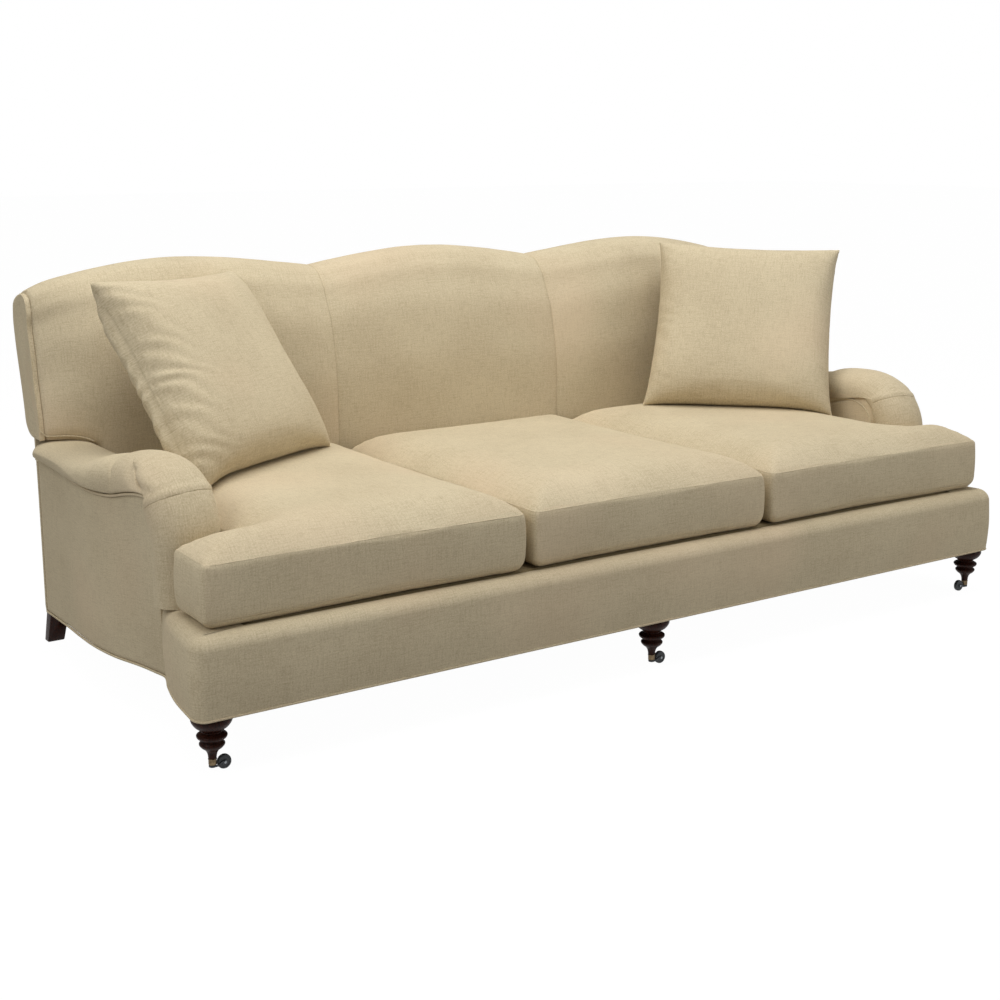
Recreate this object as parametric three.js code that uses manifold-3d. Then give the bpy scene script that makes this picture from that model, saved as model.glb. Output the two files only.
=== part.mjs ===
// Camelback sofa: hardwood frame, padded covers, loose cushions, turned front legs on casters.
// Millimetres. +X is to the right as seen from the front, +Y is towards the back, +Z is up.
import * as THREE from 'three';
import { mergeVertices } from 'three/addons/utils/BufferGeometryUtils.js';
import Module from 'manifold-3d';

const wasm = await Module();
wasm.setup();

// Overall sizes
const baseHalfWidth = 1148; // half the width over the front border
const sofaDepth = 1115; // front border to the rearmost line of the back
const baseHeight = 116; // underside of the upholstered base above the floor, at the front
const rearDrop = 34; // by which that underside slopes down between the border's returns and the rear
const seatDeckTop = 279;
const backThickness = 229; // from the front of the back at seat height to its rear
const crestSetback = 70; // of the back's crest from its rear
const rearRake = 122; // by which the rear of the base stands in front of the back's rearmost line
const backHeight = 921; // top of the middle hump
const backInset = 28; // of the back's ends from the sides of the base
const camelDrop = 75; // from the middle hump down to the back's corners
const cushionSplit = 352; // seam between the middle cushion and an outer one

// Clearances
const fitGap = 0.3; // between pieces that touch
const looseGap = 2; // round a loose cushion
const overrun = 5; // by which a cutting solid passes the face that it cuts

// Covers and padding
const borderWall = 22;
const borderReturn = 284; // depth of the border's side returns
const borderLip = 40; // depth of the padded lip on top of the front rail
const borderBulge = 6;
const borderCornerRadius = 22;
const borderTopInset = 28; // how far the rounded top edge draws in
const planSteps = 8; // stations of the sides along a return
const armPanelWall = 20;
const innerArmWall = 15;
const backCoverWall = 12;
const deckPad = 10;
const dustCoverWall = 2;

// Hardwood frame
const railLift = 4; // rails above the cover's lower edge
const railTop = 262;
const frontRailDepth = 35;
const sideRailWall = 30;
const stretcherWall = 25;
const stretcherDrop = 22; // stretchers stop short of the springs
const postDepth = 38;
const postWidth = 45;
const backPostInset = 96; // outer face of a back post from the side of the base
const topRailHeight = 100;
const topRailCover = 40; // padding over the top rail
const topRailSetback = 64; // of the top rail's front from the rear of the back
const topRailDepth = 36;
const armBoardWall = 22;
const armPostDepth = 40;

// Rake of the frame behind the back padding
const rakeFootSetback = 227; // of the frame's front plane from the rear of the back, at the rails' underside
const rakeHeadDrop = 141; // below the hump, where the frame's front plane meets the top rail

// Arms
const armWidth = 163; // from the inside face of an arm to the side of the base
const rollInset = 93; // of the middle of an arm's front from the side of the base
const rollHalfWidth = 76;
const armFrontSeam = 493; // height of the seam across the arm's front
const armCoreSetback = 170; // of the arm's board and inside panel from the rear of the back
const armFlare = 28; // how far the outer panel leans out at the front top
const armFlareRun = 280; // depth over which that lean fades
const armSides = 16;
const rollEndShares = [0.45, 0.83]; // widths at the roll's rounded rear end beside its full width
const wingGap = 0.8; // between an arm's roll and the back's end that overhangs it
const endOutset = 62; // how far the back's front turns rearwards at its ends
const endBendRun = 140; // width over which that turn sets in
const endBendFade = 165; // height below the crest over which the turn sets in
const deckInset = 119; // of the sprung deck from the side of the base

// Seat cushions
const cushionFront = 21;
const cushionSeamLow = 292;
const cushionSeamHigh = 410;
const cushionCrown = 51;
const cushionBelly = 12.7; // how far the underside swells below its seam
const cushionBulge = 4; // outward swell of the boxing between the seams
const cushionDrawIn = 5; // inward pull of the long sides between corners
const cushionCornerRadius = 26;
const crownReach = 170; // distance from the edge over which the crown rises
const earDepth = 166; // depth of the part that wraps in front of an arm
const earInset = 29; // of that part's end from the side of the base

// Throw pillows
const pillowSide = 512;
const pillowHalfThickness = 78;
const pillowEdge = 3; // half the thickness at the seamed edge
const pillowDrawIn = 20;
const pillowColumns = 10;
// Each pillow's middle from the arm's inside, the back's front and the cushion's crown; its turns in degrees
const pillowPoses = {
  left: { side: -1, inset: 225, setback: 182, rise: 214, yaw: 30, tilt: -34.6, roll: 1.7 },
  right: { side: 1, inset: 162, setback: 251, rise: 217, yaw: -44, tilt: -31.8, roll: 2.2 },
};

// Springs
const springCount = 10;
const springPitch = 190;
const springWire = 4;
const springWidth = 44;
const springWaves = 5;
const springEndReach = 0.9; // by which a wire's slanted end passes its line
const springMargin = 6; // from the edge of the rail that carries it
const springInset = 10; // springs of the back stand behind the padding
const springTieShares = [0.5];
const backSpringPlaces = [-230, 0, 230];

// Front legs
const legInset = 48; // of an outer front leg from the side of the base
const legY = 42;
const legDiscRadius = 40.5;
const legSpigotRadius = 17;
const legStemRadius = 8;
const legSegments = 12;
const studRadius = 4;
const studTop = 165;
const studBottom = 92;

// Casters
const wheelRadius = 14.5;
const wheelHalfWidth = 5;
const wheelTrail = 24; // from the swivel's axis to the wheel's axle
const wheelSegments = 20;
const wheelEdge = 2.5; // bevel of the tread
const axleRadius = 1.8;
const boreClearance = 0.1; // running fit of an axle or a pin
const ferruleHeight = 13;
const ferruleWall = 1.5;
const ferruleFloor = 2;
const ferruleBottom = 13;
const pivotRadius = 2;
const pivotRise = 11; // of the pin above the swivel plate
const plateRadius = 7.5;
const plateHeight = 4.2;
const cheekWall = 1.7;
const cheekGap = 0.5; // between a wheel's side and its fork
const smallSegments = 12;
const casterHeadings = { left: 0, centre: 0, right: 180 }; // degrees that each caster has swivelled

// Back legs
const backLegNeck = { width: 30, depth: 20 }; // inside the covers, up to the rail
const backLegTop = { width: 44, depth: 33 };
const backLegFoot = { width: 40, depth: 25, rake: 32.5 };
const backLegSideClear = 3; // of an outer leg's top from the arm's outer face
const backLegClear = 1; // in front of the outer face of the back
const shoulderGap = 1.5; // below the covers
const neckSetback = 7; // of the neck's middle in front of the top's
const neckInset = 13; // of an outer leg's neck towards the middle of the sofa

const backStations = 5; // at which the back's curve is drawn, from the middle to a cushion seam

// Rows of the back's padding below its crest as shares of the drop, then over it to the rear
const padDropShares = [1, 0.8, 0.62, 0.48, 0.36, 0.26, 0.18, 0.12, 0.075, 0.04, 0.02, 0.008, 0];
const rearRollShares = [[0.3, 0.04], [0.62, 0.16], [0.86, 0.36], [0.98, 0.54]];
const backCoverTopShare = 0.56;
// Rows of a cushion's top and underside towards its middle, and points along a side
const crownShares = [0, 0.04, 0.12, 0.25, 0.45, 0.7, 0.9];
const bellyShares = [0.9, 0.45, 0.12, 0];
const sideShares = [0.25, 0.5, 0.75];
// Outline of the base in plan, from the front corner back: shares of the depth and of the half width
const sidePlanShares = [
  [0.027, 0.998], [0.125, 0.986], [0.2, 0.969], [0.255, 0.952], [0.3, 0.9545], [0.359, 0.961],
  [0.448, 0.976], [0.538, 0.981], [0.628, 0.978], [0.717, 0.972], [0.807, 0.968], [0.89, 0.9645],
  [0.96, 0.961],
];
// Bulge of the border below its rounded top: share of the height, share of the bulge
const borderShares = [[0, 0], [0.2, 0.6], [0.45, 1], [0.7, 0.8]];
// Camel line of the back: share of the back's half width, share of the drop
const camelShares = [
  [0, 0], [0.071, 0.04], [0.177, 0.21], [0.248, 0.36], [0.3115, 0.47], [0.38, 0.39], [0.46, 0.24],
  [0.549, 0.1], [0.655, 0.03], [0.743, 0.1], [0.823, 0.26], [0.885, 0.43], [0.947, 0.65], [1, 1],
];
// Front of the back below its crest: share of the padded height, share of the lean
const backFrontShares = [
  [0, 1], [0.008, 0.84], [0.022, 0.7], [0.047, 0.59], [0.078, 0.48], [0.125, 0.39],
  [0.219, 0.214], [0.344, 0.1], [0.469, 0.025], [0.711, 0], [1, 0],
];
// Rear of the back: share of the height, share of the rake in front of the rearmost line
const backRearShares = [
  [0.089, 1], [0.326, 0.845], [0.489, 0.713], [0.6015, 0.539], [0.723, 0.219], [0.8425, 0], [0.91, 0.018],
  [1, 0.027],
];
// Path of an arm from the back forwards and down: share of the run behind the border's return,
// share of the back's height, then half thickness and sideways shift as shares of the roll's half width
const armPathShares = [
  [0.838, 0.52, 0.2, 0.08], [0.818, 0.52, 0.381, 0.13], [0.76, 0.5195, 0.46, 0.18], [0.7317, 0.519, 0.477, 0.18],
  [0.525, 0.519, 0.528, 0.317], [0.4042, 0.518, 0.5575, 0.287], [0.3318, 0.524, 0.69, 0.18],
  [0.2352, 0.536, 0.807, 0.06], [0.14, 0.548, 0.851, 0], [0.0554, 0.543, 0.836, 0], [-0.005, 0.516, 0.763, 0],
  [-0.0385, 0.467, 0.704, 0], [-0.0445, 0.39, 0.675, 0], [-0.0445, 0.25, 0.675, 0],
];
// Line on which the arm's roll sits: share of that run, share of the back's height
const armSeatShares = [
  [-0.0063, 0.544], [0.0608, 0.54], [0.14, 0.527], [0.2352, 0.508], [0.356, 0.497], [0.53, 0.494], [1, 0.494],
];
// Turned outline of a front leg below its spigot: share of the disc's radius, share of the leg's height
const legShares = [
  [0.92, 1], [1, 0.93], [0.97, 0.87], [0.8, 0.79], [0.56, 0.735], [0.49, 0.7], [0.6, 0.675], [0.72, 0.65],
  [0.745, 0.625], [0.69, 0.59], [0.53, 0.56], [0.5, 0.548], [0.56, 0.52], [0.62, 0.495], [0.61, 0.465],
  [0.5, 0.42], [0.35, 0.38], [0.255, 0.33], [0.215, 0.28],
];
// Side view of a caster's cheek: share of the trail, share of the axle's height
const cheekShares = [
  [-0.12, 0.875], [0.36, 0.875], [0.8, 1.24], [1.12, 1.24], [1.2, 1], [1.1, 0.76], [0.84, 0.72], [0.34, 0.6],
  [-0.12, 0.6],
];

// Places that follow from the sizes above
const insideBackLine = sofaDepth - backThickness;
const crestLine = sofaDepth - crestSetback;
const backHalfWidth = baseHalfWidth - backInset;
const topRailFront = sofaDepth - topRailSetback;
const rakeFoot = sofaDepth - rakeFootSetback;
const armInner = baseHalfWidth - armWidth;
const rollCentre = baseHalfWidth - rollInset;
const armCoreRear = sofaDepth - armCoreSetback;
const endBendStart = backHalfWidth - endBendRun;
const deckHalf = baseHalfWidth - deckInset;
const earOuter = baseHalfWidth - earInset;
const legX = baseHalfWidth - legInset;

// Smooth function through a table of points, with straight runs past its ends
function through(points) {
  const slope = (a, b) => (b[1] - a[1]) / (b[0] - a[0]);
  const tangents = points.map((p, i) => {
    const before = points[Math.max(i - 1, 0)];
    const after = points[Math.min(i + 1, points.length - 1)];
    return slope(before, after);
  });
  return (t) => {
    const last = points.length - 2;
    let i = points.findIndex((p) => p[0] > t) - 1;
    if (t < points[0][0]) i = 0;
    else if (i < 0) i = last;
    const [a, b] = [points[i], points[i + 1]];
    const span = b[0] - a[0];
    const s = THREE.MathUtils.clamp((t - a[0]) / span, 0, 1);
    const s2 = s * s;
    const s3 = s2 * s;
    return a[1] * (2 * s3 - 3 * s2 + 1) + b[1] * (3 * s2 - 2 * s3)
      + span * (tangents[i] * (s3 - 2 * s2 + s) + tangents[i + 1] * (s3 - s2));
  };
}

const scaled = (shares, first, second) => shares.map(([a, b]) => [a * first, b * second]);
const sideX = through(scaled(sidePlanShares, sofaDepth, baseHalfWidth));
const camelAt = through(scaled(camelShares, backHalfWidth, camelDrop));
const crestZ = (x) => backHeight - camelAt(Math.abs(x));
const leanAt = through(scaled(backFrontShares, backHeight - seatDeckTop, crestLine - insideBackLine));
const rearLine = through(scaled(backRearShares, backHeight, rearRake));
const rearY = (z) => sofaDepth - rearLine(z);
const armRun = sofaDepth - borderReturn;
const armSeatLine = through(scaled(armSeatShares, armRun, backHeight));
const armSeatZ = (y) => armSeatLine(y - borderReturn);
const armCoreFront = borderReturn + fitGap; // the flat panels of an arm begin behind its rounded front
const planStep = borderReturn / planSteps;
const rearFoot = sofaDepth - rearRake;
const rearUnderside = baseHeight - rearDrop;
const railBottom = baseHeight + railLift;
const lerp = THREE.MathUtils.lerp;
const slopeShare = (y) => THREE.MathUtils.clamp((y - borderReturn) / (rearFoot - borderReturn), 0, 1);
const rollTops = armPathShares.slice(0, 4).map(([, up, thick]) => up * backHeight + thick * rollHalfWidth);
const wingUnderside = Math.max(...rollTops) + wingGap;
const underZ = (y) => baseHeight - rearDrop * slopeShare(y);
const railUnder = (y) => underZ(y) + railLift;
const smooth = (t) => THREE.MathUtils.smoothstep(t, 0, 1);
const cavityStart = sidePlanShares[0][0] * sofaDepth;
const point = (x, y, z) => new THREE.Vector3(x, y, z);

// Places from start to stop, with every multiple of step between them
function stations(start, stop, step) {
  const places = [start];
  for (let k = Math.ceil(start / step); k * step < stop - overrun; k++) {
    if (k * step > start + overrun) places.push(k * step);
  }
  places.push(stop);
  return places;
}

// Front plane of the frame behind the padding, raked below the top rail
function frameY(z) {
  const headZ = backHeight - rakeHeadDrop;
  const share = (z - railBottom) / (headZ - railBottom);
  return lerp(rakeFoot, topRailFront - fitGap, Math.min(share, 1));
}

// A closed solid from a geometry: shared corners merged and faces turned outwards
function solid(geometry) {
  const bare = geometry.clone();
  bare.deleteAttribute('uv');
  bare.deleteAttribute('normal');
  const merged = mergeVertices(bare);
  const corners = merged.getAttribute('position');
  const index = Array.from(merged.index.array);
  const [a, b, c] = [point(0, 0, 0), point(0, 0, 0), point(0, 0, 0)];
  const kept = [];
  let volume = 0;
  for (let i = 0; i < index.length; i += 3) {
    const [p, q, r] = index.slice(i, i + 3);
    if (p === q || q === r || r === p) continue;
    kept.push(p, q, r);
    volume += a.fromBufferAttribute(corners, p).dot(
      b.fromBufferAttribute(corners, q).cross(c.fromBufferAttribute(corners, r)),
    );
  }
  if (volume < 0) {
    for (let i = 0; i < kept.length; i += 3) [kept[i + 1], kept[i + 2]] = [kept[i + 2], kept[i + 1]];
  }
  merged.setIndex(kept);
  merged.computeVertexNormals();
  return merged;
}

// Closed solid between two grids whose edges are joined all round
function between(columns, rows, outer, inner) {
  const places = [];
  const faces = [];
  const at = (layer, i, j) => (layer * (columns + 1) + i) * (rows + 1) + j;
  for (const surface of [outer, inner]) {
    for (let i = 0; i <= columns; i++) {
      for (let j = 0; j <= rows; j++) places.push(...surface(i / columns, j / rows, i, j).toArray());
    }
  }
  const quad = (a, b, c, d) => faces.push(a, b, c, a, c, d);
  for (let i = 0; i < columns; i++) {
    for (let j = 0; j < rows; j++) {
      quad(at(0, i, j), at(0, i + 1, j), at(0, i + 1, j + 1), at(0, i, j + 1));
      quad(at(1, i, j + 1), at(1, i + 1, j + 1), at(1, i + 1, j), at(1, i, j));
    }
    quad(at(1, i, 0), at(1, i + 1, 0), at(0, i + 1, 0), at(0, i, 0));
    quad(at(0, i, rows), at(0, i + 1, rows), at(1, i + 1, rows), at(1, i, rows));
  }
  for (let j = 0; j < rows; j++) {
    quad(at(0, 0, j), at(0, 0, j + 1), at(1, 0, j + 1), at(1, 0, j));
    quad(at(1, columns, j), at(1, columns, j + 1), at(0, columns, j + 1), at(0, columns, j));
  }
  const geometry = new THREE.BufferGeometry();
  geometry.setAttribute('position', new THREE.Float32BufferAttribute(places, 3));
  geometry.setIndex(faces);
  return solid(geometry);
}

// Closed solid through a list of rings of equal length, with a fan over each end
function loft(rings) {
  const count = rings[0].length;
  const places = [];
  const faces = [];
  rings.forEach((ring) => ring.forEach((p) => places.push(...p.toArray())));
  for (let k = 0; k < rings.length - 1; k++) {
    for (let i = 0; i < count; i++) {
      const next = (i + 1) % count;
      const [a, b, c, d] = [k * count + i, k * count + next, (k + 1) * count + next, (k + 1) * count + i];
      faces.push(a, b, c, a, c, d);
    }
  }
  for (const k of [0, rings.length - 1]) {
    const middle = rings[k].reduce((sum, p) => sum.add(p), point(0, 0, 0)).divideScalar(count);
    const hub = places.length / 3;
    places.push(...middle.toArray());
    for (let i = 0; i < count; i++) {
      const edge = [k * count + i, k * count + ((i + 1) % count)];
      if (k === 0) edge.reverse();
      faces.push(hub, ...edge);
    }
  }
  const geometry = new THREE.BufferGeometry();
  geometry.setAttribute('position', new THREE.Float32BufferAttribute(places, 3));
  geometry.setIndex(faces);
  return solid(geometry);
}

// Solid of revolution about Z from a closed profile of radii and heights
function turned(profile, segments) {
  const geometry = new THREE.LatheGeometry(profile.map(([r, z]) => new THREE.Vector2(r, z)), segments);
  return solid(geometry.rotateX(Math.PI / 2));
}

function box(x0, x1, y0, y1, z0, z1) {
  const geometry = new THREE.BoxGeometry(x1 - x0, y1 - y0, z1 - z0);
  return solid(geometry.translate((x0 + x1) / 2, (y0 + y1) / 2, (z0 + z1) / 2));
}

// Prism of a side-view outline of depths and heights, from x0 to x1
function sidePrism(outline, x0, x1) {
  const shape = new THREE.Shape(outline.map(([y, z]) => new THREE.Vector2(y, z)));
  const geometry = new THREE.ExtrudeGeometry(shape, { depth: x1 - x0, bevelEnabled: false });
  geometry.applyMatrix4(new THREE.Matrix4().set(0, 0, 1, x0, 1, 0, 0, 0, 0, 1, 0, 0, 0, 0, 0, 1));
  return solid(geometry);
}

// Prism of a plan outline, from z0 to z1
function planPrism(outline, z0, z1) {
  const shape = new THREE.Shape(outline.map(([x, y]) => new THREE.Vector2(x, y)));
  const geometry = new THREE.ExtrudeGeometry(shape, { depth: z1 - z0, bevelEnabled: false });
  return solid(geometry.translate(0, 0, z0));
}

function toManifold(geometry) {
  const vertProperties = new Float32Array(geometry.getAttribute('position').array);
  const triVerts = new Uint32Array(geometry.index.array);
  return new wasm.Manifold(new wasm.Mesh({ numProp: 3, vertProperties, triVerts }));
}

function fromManifold(manifold) {
  const mesh = manifold.getMesh();
  const geometry = new THREE.BufferGeometry();
  geometry.setAttribute('position', new THREE.Float32BufferAttribute(mesh.vertProperties, 3));
  geometry.setIndex(Array.from(mesh.triVerts));
  return solid(geometry);
}

const minus = (body, ...tools) => fromManifold(
  tools.reduce((left, tool) => left.subtract(toManifold(tool)), toManifold(body)),
);
const common = (body, tool) => fromManifold(toManifold(body).intersect(toManifold(tool)));
const joined = (...bodies) => fromManifold(bodies.map(toManifold).reduce((a, b) => a.add(b)));
const mirrored = (geometry) => solid(geometry.clone().scale(-1, 1, 1));

function finish(color, roughness, metalness = 0) {
  return () => new THREE.MeshStandardMaterial({ color, roughness, metalness });
}

const linen = finish(0xc3b08a, 0.92);
const platformCloth = finish(0x8a7a58, 0.95);
const blackCambric = finish(0x2a2826, 0.95);
const hardwood = finish(0xb48a5a, 0.7);
const walnut = finish(0x2a1712, 0.35);
const springSteel = finish(0x8c8f92, 0.4, 0.9);
const agedBrass = finish(0x6d5c44, 0.35, 0.9);
const castIron = finish(0x3b3c3e, 0.45, 0.7);
const wheelRubber = finish(0x37393b, 0.6);

const sofa = new THREE.Group();

function place(parent, name, geometry, material) {
  const mesh = new THREE.Mesh(geometry, material());
  mesh.name = name;
  parent.add(mesh);
  return mesh;
}

// Places a piece built for the left side, and its mirror image on the right
function placePair(name, leftGeometry, material) {
  place(sofa, `${name}_left`, leftGeometry, material);
  place(sofa, `${name}_right`, mirrored(leftGeometry), material);
}

// Seat frame
function sideRail() {
  const y0 = borderWall + frontRailDepth + 2 * fitGap;
  const y1 = rearFoot - backCoverWall - 2 * fitGap;
  const places = stations(y0, y1, planStep);
  const face = (inset) => (u, v, i) => {
    const y = places[i];
    return point(inset - (sideX(y) - borderWall - fitGap), y, lerp(railUnder(y), railTop, v));
  };
  return between(places.length - 1, 1, face(0), face(sideRailWall));
}

function rakedPost(x0, x1, z0, z1) {
  const outline = [
    [frameY(z0), z0], [frameY(z0) + postDepth, z0], [frameY(z1) + postDepth, z1], [frameY(z1), z1],
  ];
  return sidePrism(outline, x0, x1);
}

const frontRailBack = borderWall + fitGap + frontRailDepth;
const backPostOuter = baseHalfWidth - backPostInset;
const backPostInner = backPostOuter - postWidth;
const backRailBottom = railUnder(frameY(railUnder(rakeFoot)));
const backLegX = sideX(rearFoot) - backLegSideClear - backLegTop.width / 2;
const backLegFront = rearFoot - backLegClear - backLegTop.depth;
const legTop = baseHeight - fitGap;
const studHole = turned([[0, studBottom], [studRadius + fitGap, studBottom],
  [studRadius + fitGap, studTop + fitGap], [0, studTop + fitGap]], smallSegments);

function buildSeatFrame() {
  const frontRailEnd = sideX(frontRailBack) - borderWall - fitGap;
  const frontRail = box(-frontRailEnd, frontRailEnd, borderWall + fitGap, frontRailBack, railBottom, railTop);
  const holes = [-legX, 0, legX].map((x) => studHole.clone().translate(x, legY, 0));
  place(sofa, 'front_rail', minus(frontRail, ...holes), hardwood);
  const backRailEnd = backPostInner - fitGap;
  const backRailRear = rearFoot - backCoverWall - looseGap;
  const backRail = sidePrism([
    [frameY(backRailBottom), backRailBottom], [backRailRear, railUnder(backRailRear)],
    [backRailRear, railTop], [frameY(railTop), railTop],
  ], -backRailEnd, backRailEnd);
  place(sofa, 'back_rail', backRail, hardwood);
  placePair('side_rail', sideRail(), hardwood);
  const half = stretcherWall / 2;
  const stretcherTop = railTop - stretcherDrop;
  const stretcher = sidePrism([
    [frontRailBack + fitGap, railBottom], [borderReturn, railBottom],
    [frameY(backRailBottom) - fitGap, backRailBottom],
    [frameY(stretcherTop) - fitGap, stretcherTop], [frontRailBack + fitGap, stretcherTop],
  ], -cushionSplit - half, -cushionSplit + half);
  placePair('seat_stretcher', stretcher, hardwood);
}

// Back frame
function buildBackFrame() {
  const postCrest = Math.min(crestZ(backPostOuter), crestZ(backPostInner));
  const postTop = postCrest - topRailCover - topRailHeight - 2 * looseGap;
  const uprightTop = crestZ(cushionSplit) - topRailCover - topRailHeight - looseGap;
  const post = rakedPost(-backPostOuter, -backPostInner, backRailBottom, postTop);
  placePair('back_post', post, hardwood);
  const [x0, x1] = [-cushionSplit - postWidth / 2, -cushionSplit + postWidth / 2];
  const upright = rakedPost(x0, x1, railTop + fitGap, uprightTop);
  placePair('back_upright', upright, hardwood);
  const railEnd = backHalfWidth - backCoverWall - 2 * fitGap;
  const railRear = topRailFront + topRailDepth;
  const places = stations(-railEnd, railEnd, cushionSplit / backStations);
  const railPoint = (y) => (u, v, i) => {
    const x = places[i];
    const top = crestZ(x) - topRailCover - fitGap;
    return point(x, y, lerp(top - topRailHeight, top, v));
  };
  const rail = between(places.length - 1, 1, railPoint(topRailFront), railPoint(railRear));
  place(sofa, 'camel_top_rail', rail, hardwood);
}

// Outer face of an arm's panel
function armOuterX(y, z) {
  const rise = (z - baseHeight) / (armSeatZ(armCoreFront) - baseHeight);
  const fade = 1 - smooth((y - armCoreFront) / armFlareRun);
  return sideX(y) + armFlare * rise * fade;
}

// Arm frame
function buildArmFrame() {
  const postOuter = sideX(armCoreFront + armPostDepth / 2) - borderWall - 2 * fitGap;
  const postInner = armInner + postWidth + fitGap;
  const y0 = armCoreFront + looseGap;
  const y1 = y0 + armPostDepth;
  const postTop = Math.min(armSeatZ(y0), armSeatZ(y1)) - armBoardWall - looseGap;
  placePair('arm_post', box(-postOuter, -postInner, y0, y1, railTop + fitGap, postTop), hardwood);
  const places = stations(armCoreFront, armCoreRear, planStep);
  const boardPoint = (drop) => (u, v, i) => {
    const y = places[i];
    const z = armSeatZ(y) - fitGap;
    const outer = armOuterX(y, z - armBoardWall) - armPanelWall - looseGap;
    return point(lerp(-outer, -armInner - innerArmWall - fitGap, v), y, z - drop);
  };
  placePair('arm_board', between(places.length - 1, 1, boardPoint(0), boardPoint(armBoardWall)), hardwood);
}

// Flat zigzag of wire along Y, in plan, as a closed outline
function zigzag(x, y0, y1, waves) {
  const line = [];
  const stepY = (y1 - y0) / (2 * waves + 1);
  const reach = springWidth / 2 - springWire / 2;
  for (let k = 0; k <= 2 * waves + 1; k++) {
    const sideways = k === 0 || k === 2 * waves + 1 ? 0 : reach * (k % 2 ? 1 : -1);
    line.push(new THREE.Vector2(x + sideways, y0 + k * stepY));
  }
  const offset = (i, way) => {
    const before = line[Math.max(i - 1, 0)];
    const after = line[Math.min(i + 1, line.length - 1)];
    const into = line[i].clone().sub(before).normalize();
    const out = after.clone().sub(line[i]).normalize();
    if (i === 0) into.copy(out);
    if (i === line.length - 1) out.copy(into);
    const normal = new THREE.Vector2(-into.y - out.y, into.x + out.x).normalize();
    const mitre = Math.max(normal.dot(new THREE.Vector2(-into.y, into.x)), 0.5);
    return line[i].clone().addScaledVector(normal, (way * springWire) / 2 / mitre);
  };
  const left = line.map((p, i) => offset(i, 1));
  const right = line.map((p, i) => offset(i, -1)).reverse();
  return [...left, ...right].map((p) => [p.x, p.y]);
}

// Zigzag springs across an opening, tied into one mat by cross wires
function springMat(places, y0, y1, waves, z0) {
  const z1 = z0 + springWire;
  const springs = places.map((x) => planPrism(zigzag(x, y0, y1, waves), z0, z1));
  const reach = springWidth / 2;
  const ties = springTieShares.map((share) => {
    const y = lerp(y0, y1, share);
    return box(places[0] - reach, places[places.length - 1] + reach, y, y + springWire, z0, z1);
  });
  return joined(...springs, ...ties);
}

function buildSprings() {
  const places = [];
  for (let k = 0; k < springCount; k++) places.push((k - (springCount - 1) / 2) * springPitch);
  const y0 = borderLip + springMargin;
  const y1 = frameY(railTop) + postDepth - springMargin;
  place(sofa, 'seat_springs', springMat(places, y0, y1, springWaves, railTop), springSteel);
  const low = railTop + fitGap + springEndReach;
  const high = crestZ(cushionSplit) - topRailCover - topRailHeight - looseGap;
  const mat = springMat(backSpringPlaces, low, high, springWaves, springInset);
  const corners = mat.getAttribute('position');
  for (let i = 0; i < corners.count; i++) {
    const z = corners.getY(i);
    corners.setXYZ(i, corners.getX(i), frameY(z) + corners.getZ(i), z);
  }
  place(sofa, 'back_springs', solid(mat), springSteel);
}

// Padded border round the front of the base
function borderOutline() {
  const front = borderCornerRadius;
  const left = stations(cavityStart, borderReturn, planStep).reverse().map((y) => [-sideX(y), y]);
  const [cornerX, cornerY] = left.pop();
  for (let k = 0; k <= 4; k++) {
    const angle = (k / 4) * (Math.PI / 2);
    left.push([cornerX + front * (1 - Math.cos(angle)), cornerY * (1 - Math.sin(angle))]);
  }
  const right = left.map(([x, y]) => [-x, y]).reverse();
  return [...left, ...right];
}

function buildBorder() {
  const outline = borderOutline();
  const top = seatDeckTop;
  const rounded = borderTopInset;
  const levels = borderShares.map(([up, out]) => [lerp(baseHeight, top, up), out * borderBulge]);
  for (let k = 1; k <= 4; k++) {
    const angle = (k / 4) * (Math.PI / 2);
    const inset = rounded * (1 - Math.cos(angle));
    levels.push([top - rounded * (1 - Math.sin(angle)), borderBulge * (1 - k / 4) - inset]);
  }
  const rings = levels.map(([z, outset]) => outline.map(([x, y], i) => {
    if (y >= borderReturn - fitGap) return point(x + Math.sign(x) * outset, y, z);
    const before = outline[i - 1];
    const after = outline[i + 1];
    const normal = new THREE.Vector2(after[1] - before[1], before[0] - after[0]).normalize();
    return point(x + normal.x * outset, y + normal.y * outset, z);
  }));
  const y1 = borderReturn + planStep;
  const places = [borderWall, ...stations(cavityStart, y1, planStep)];
  const cavityPoint = (z) => (u, v, i, j) => {
    const half = sideX(Math.max(places[j], cavityStart)) - borderWall;
    return point(lerp(-half, half, u), places[j], z);
  };
  const [floor, ceiling] = [baseHeight - overrun, railTop + fitGap];
  const cavity = between(1, places.length - 1, cavityPoint(floor), cavityPoint(ceiling));
  const half = deckHalf + fitGap;
  const mouth = box(-half, half, borderLip, y1, railTop - overrun, top + overrun);
  place(sofa, 'front_border', minus(loft(rings), cavity, mouth), linen);
}

// Deck cloth over the springs, and the cambric under the frame
function buildDeck() {
  const top = seatDeckTop;
  const rear = frameY(top - deckPad) - fitGap;
  const deck = box(-deckHalf, deckHalf, borderLip + fitGap, rear, top - deckPad, top);
  place(sofa, 'seat_deck', deck, platformCloth);
  const half = backPostInner;
  const line = [legY + legSpigotRadius + looseGap, borderReturn, backLegFront - looseGap];
  const upper = line.map((y) => [y, railUnder(y) - fitGap]);
  const lower = line.map((y) => [y, railUnder(y) - fitGap - dustCoverWall]);
  place(sofa, 'dust_cover', sidePrism([...lower, ...upper.reverse()], -half, half), blackCambric);
}

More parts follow.
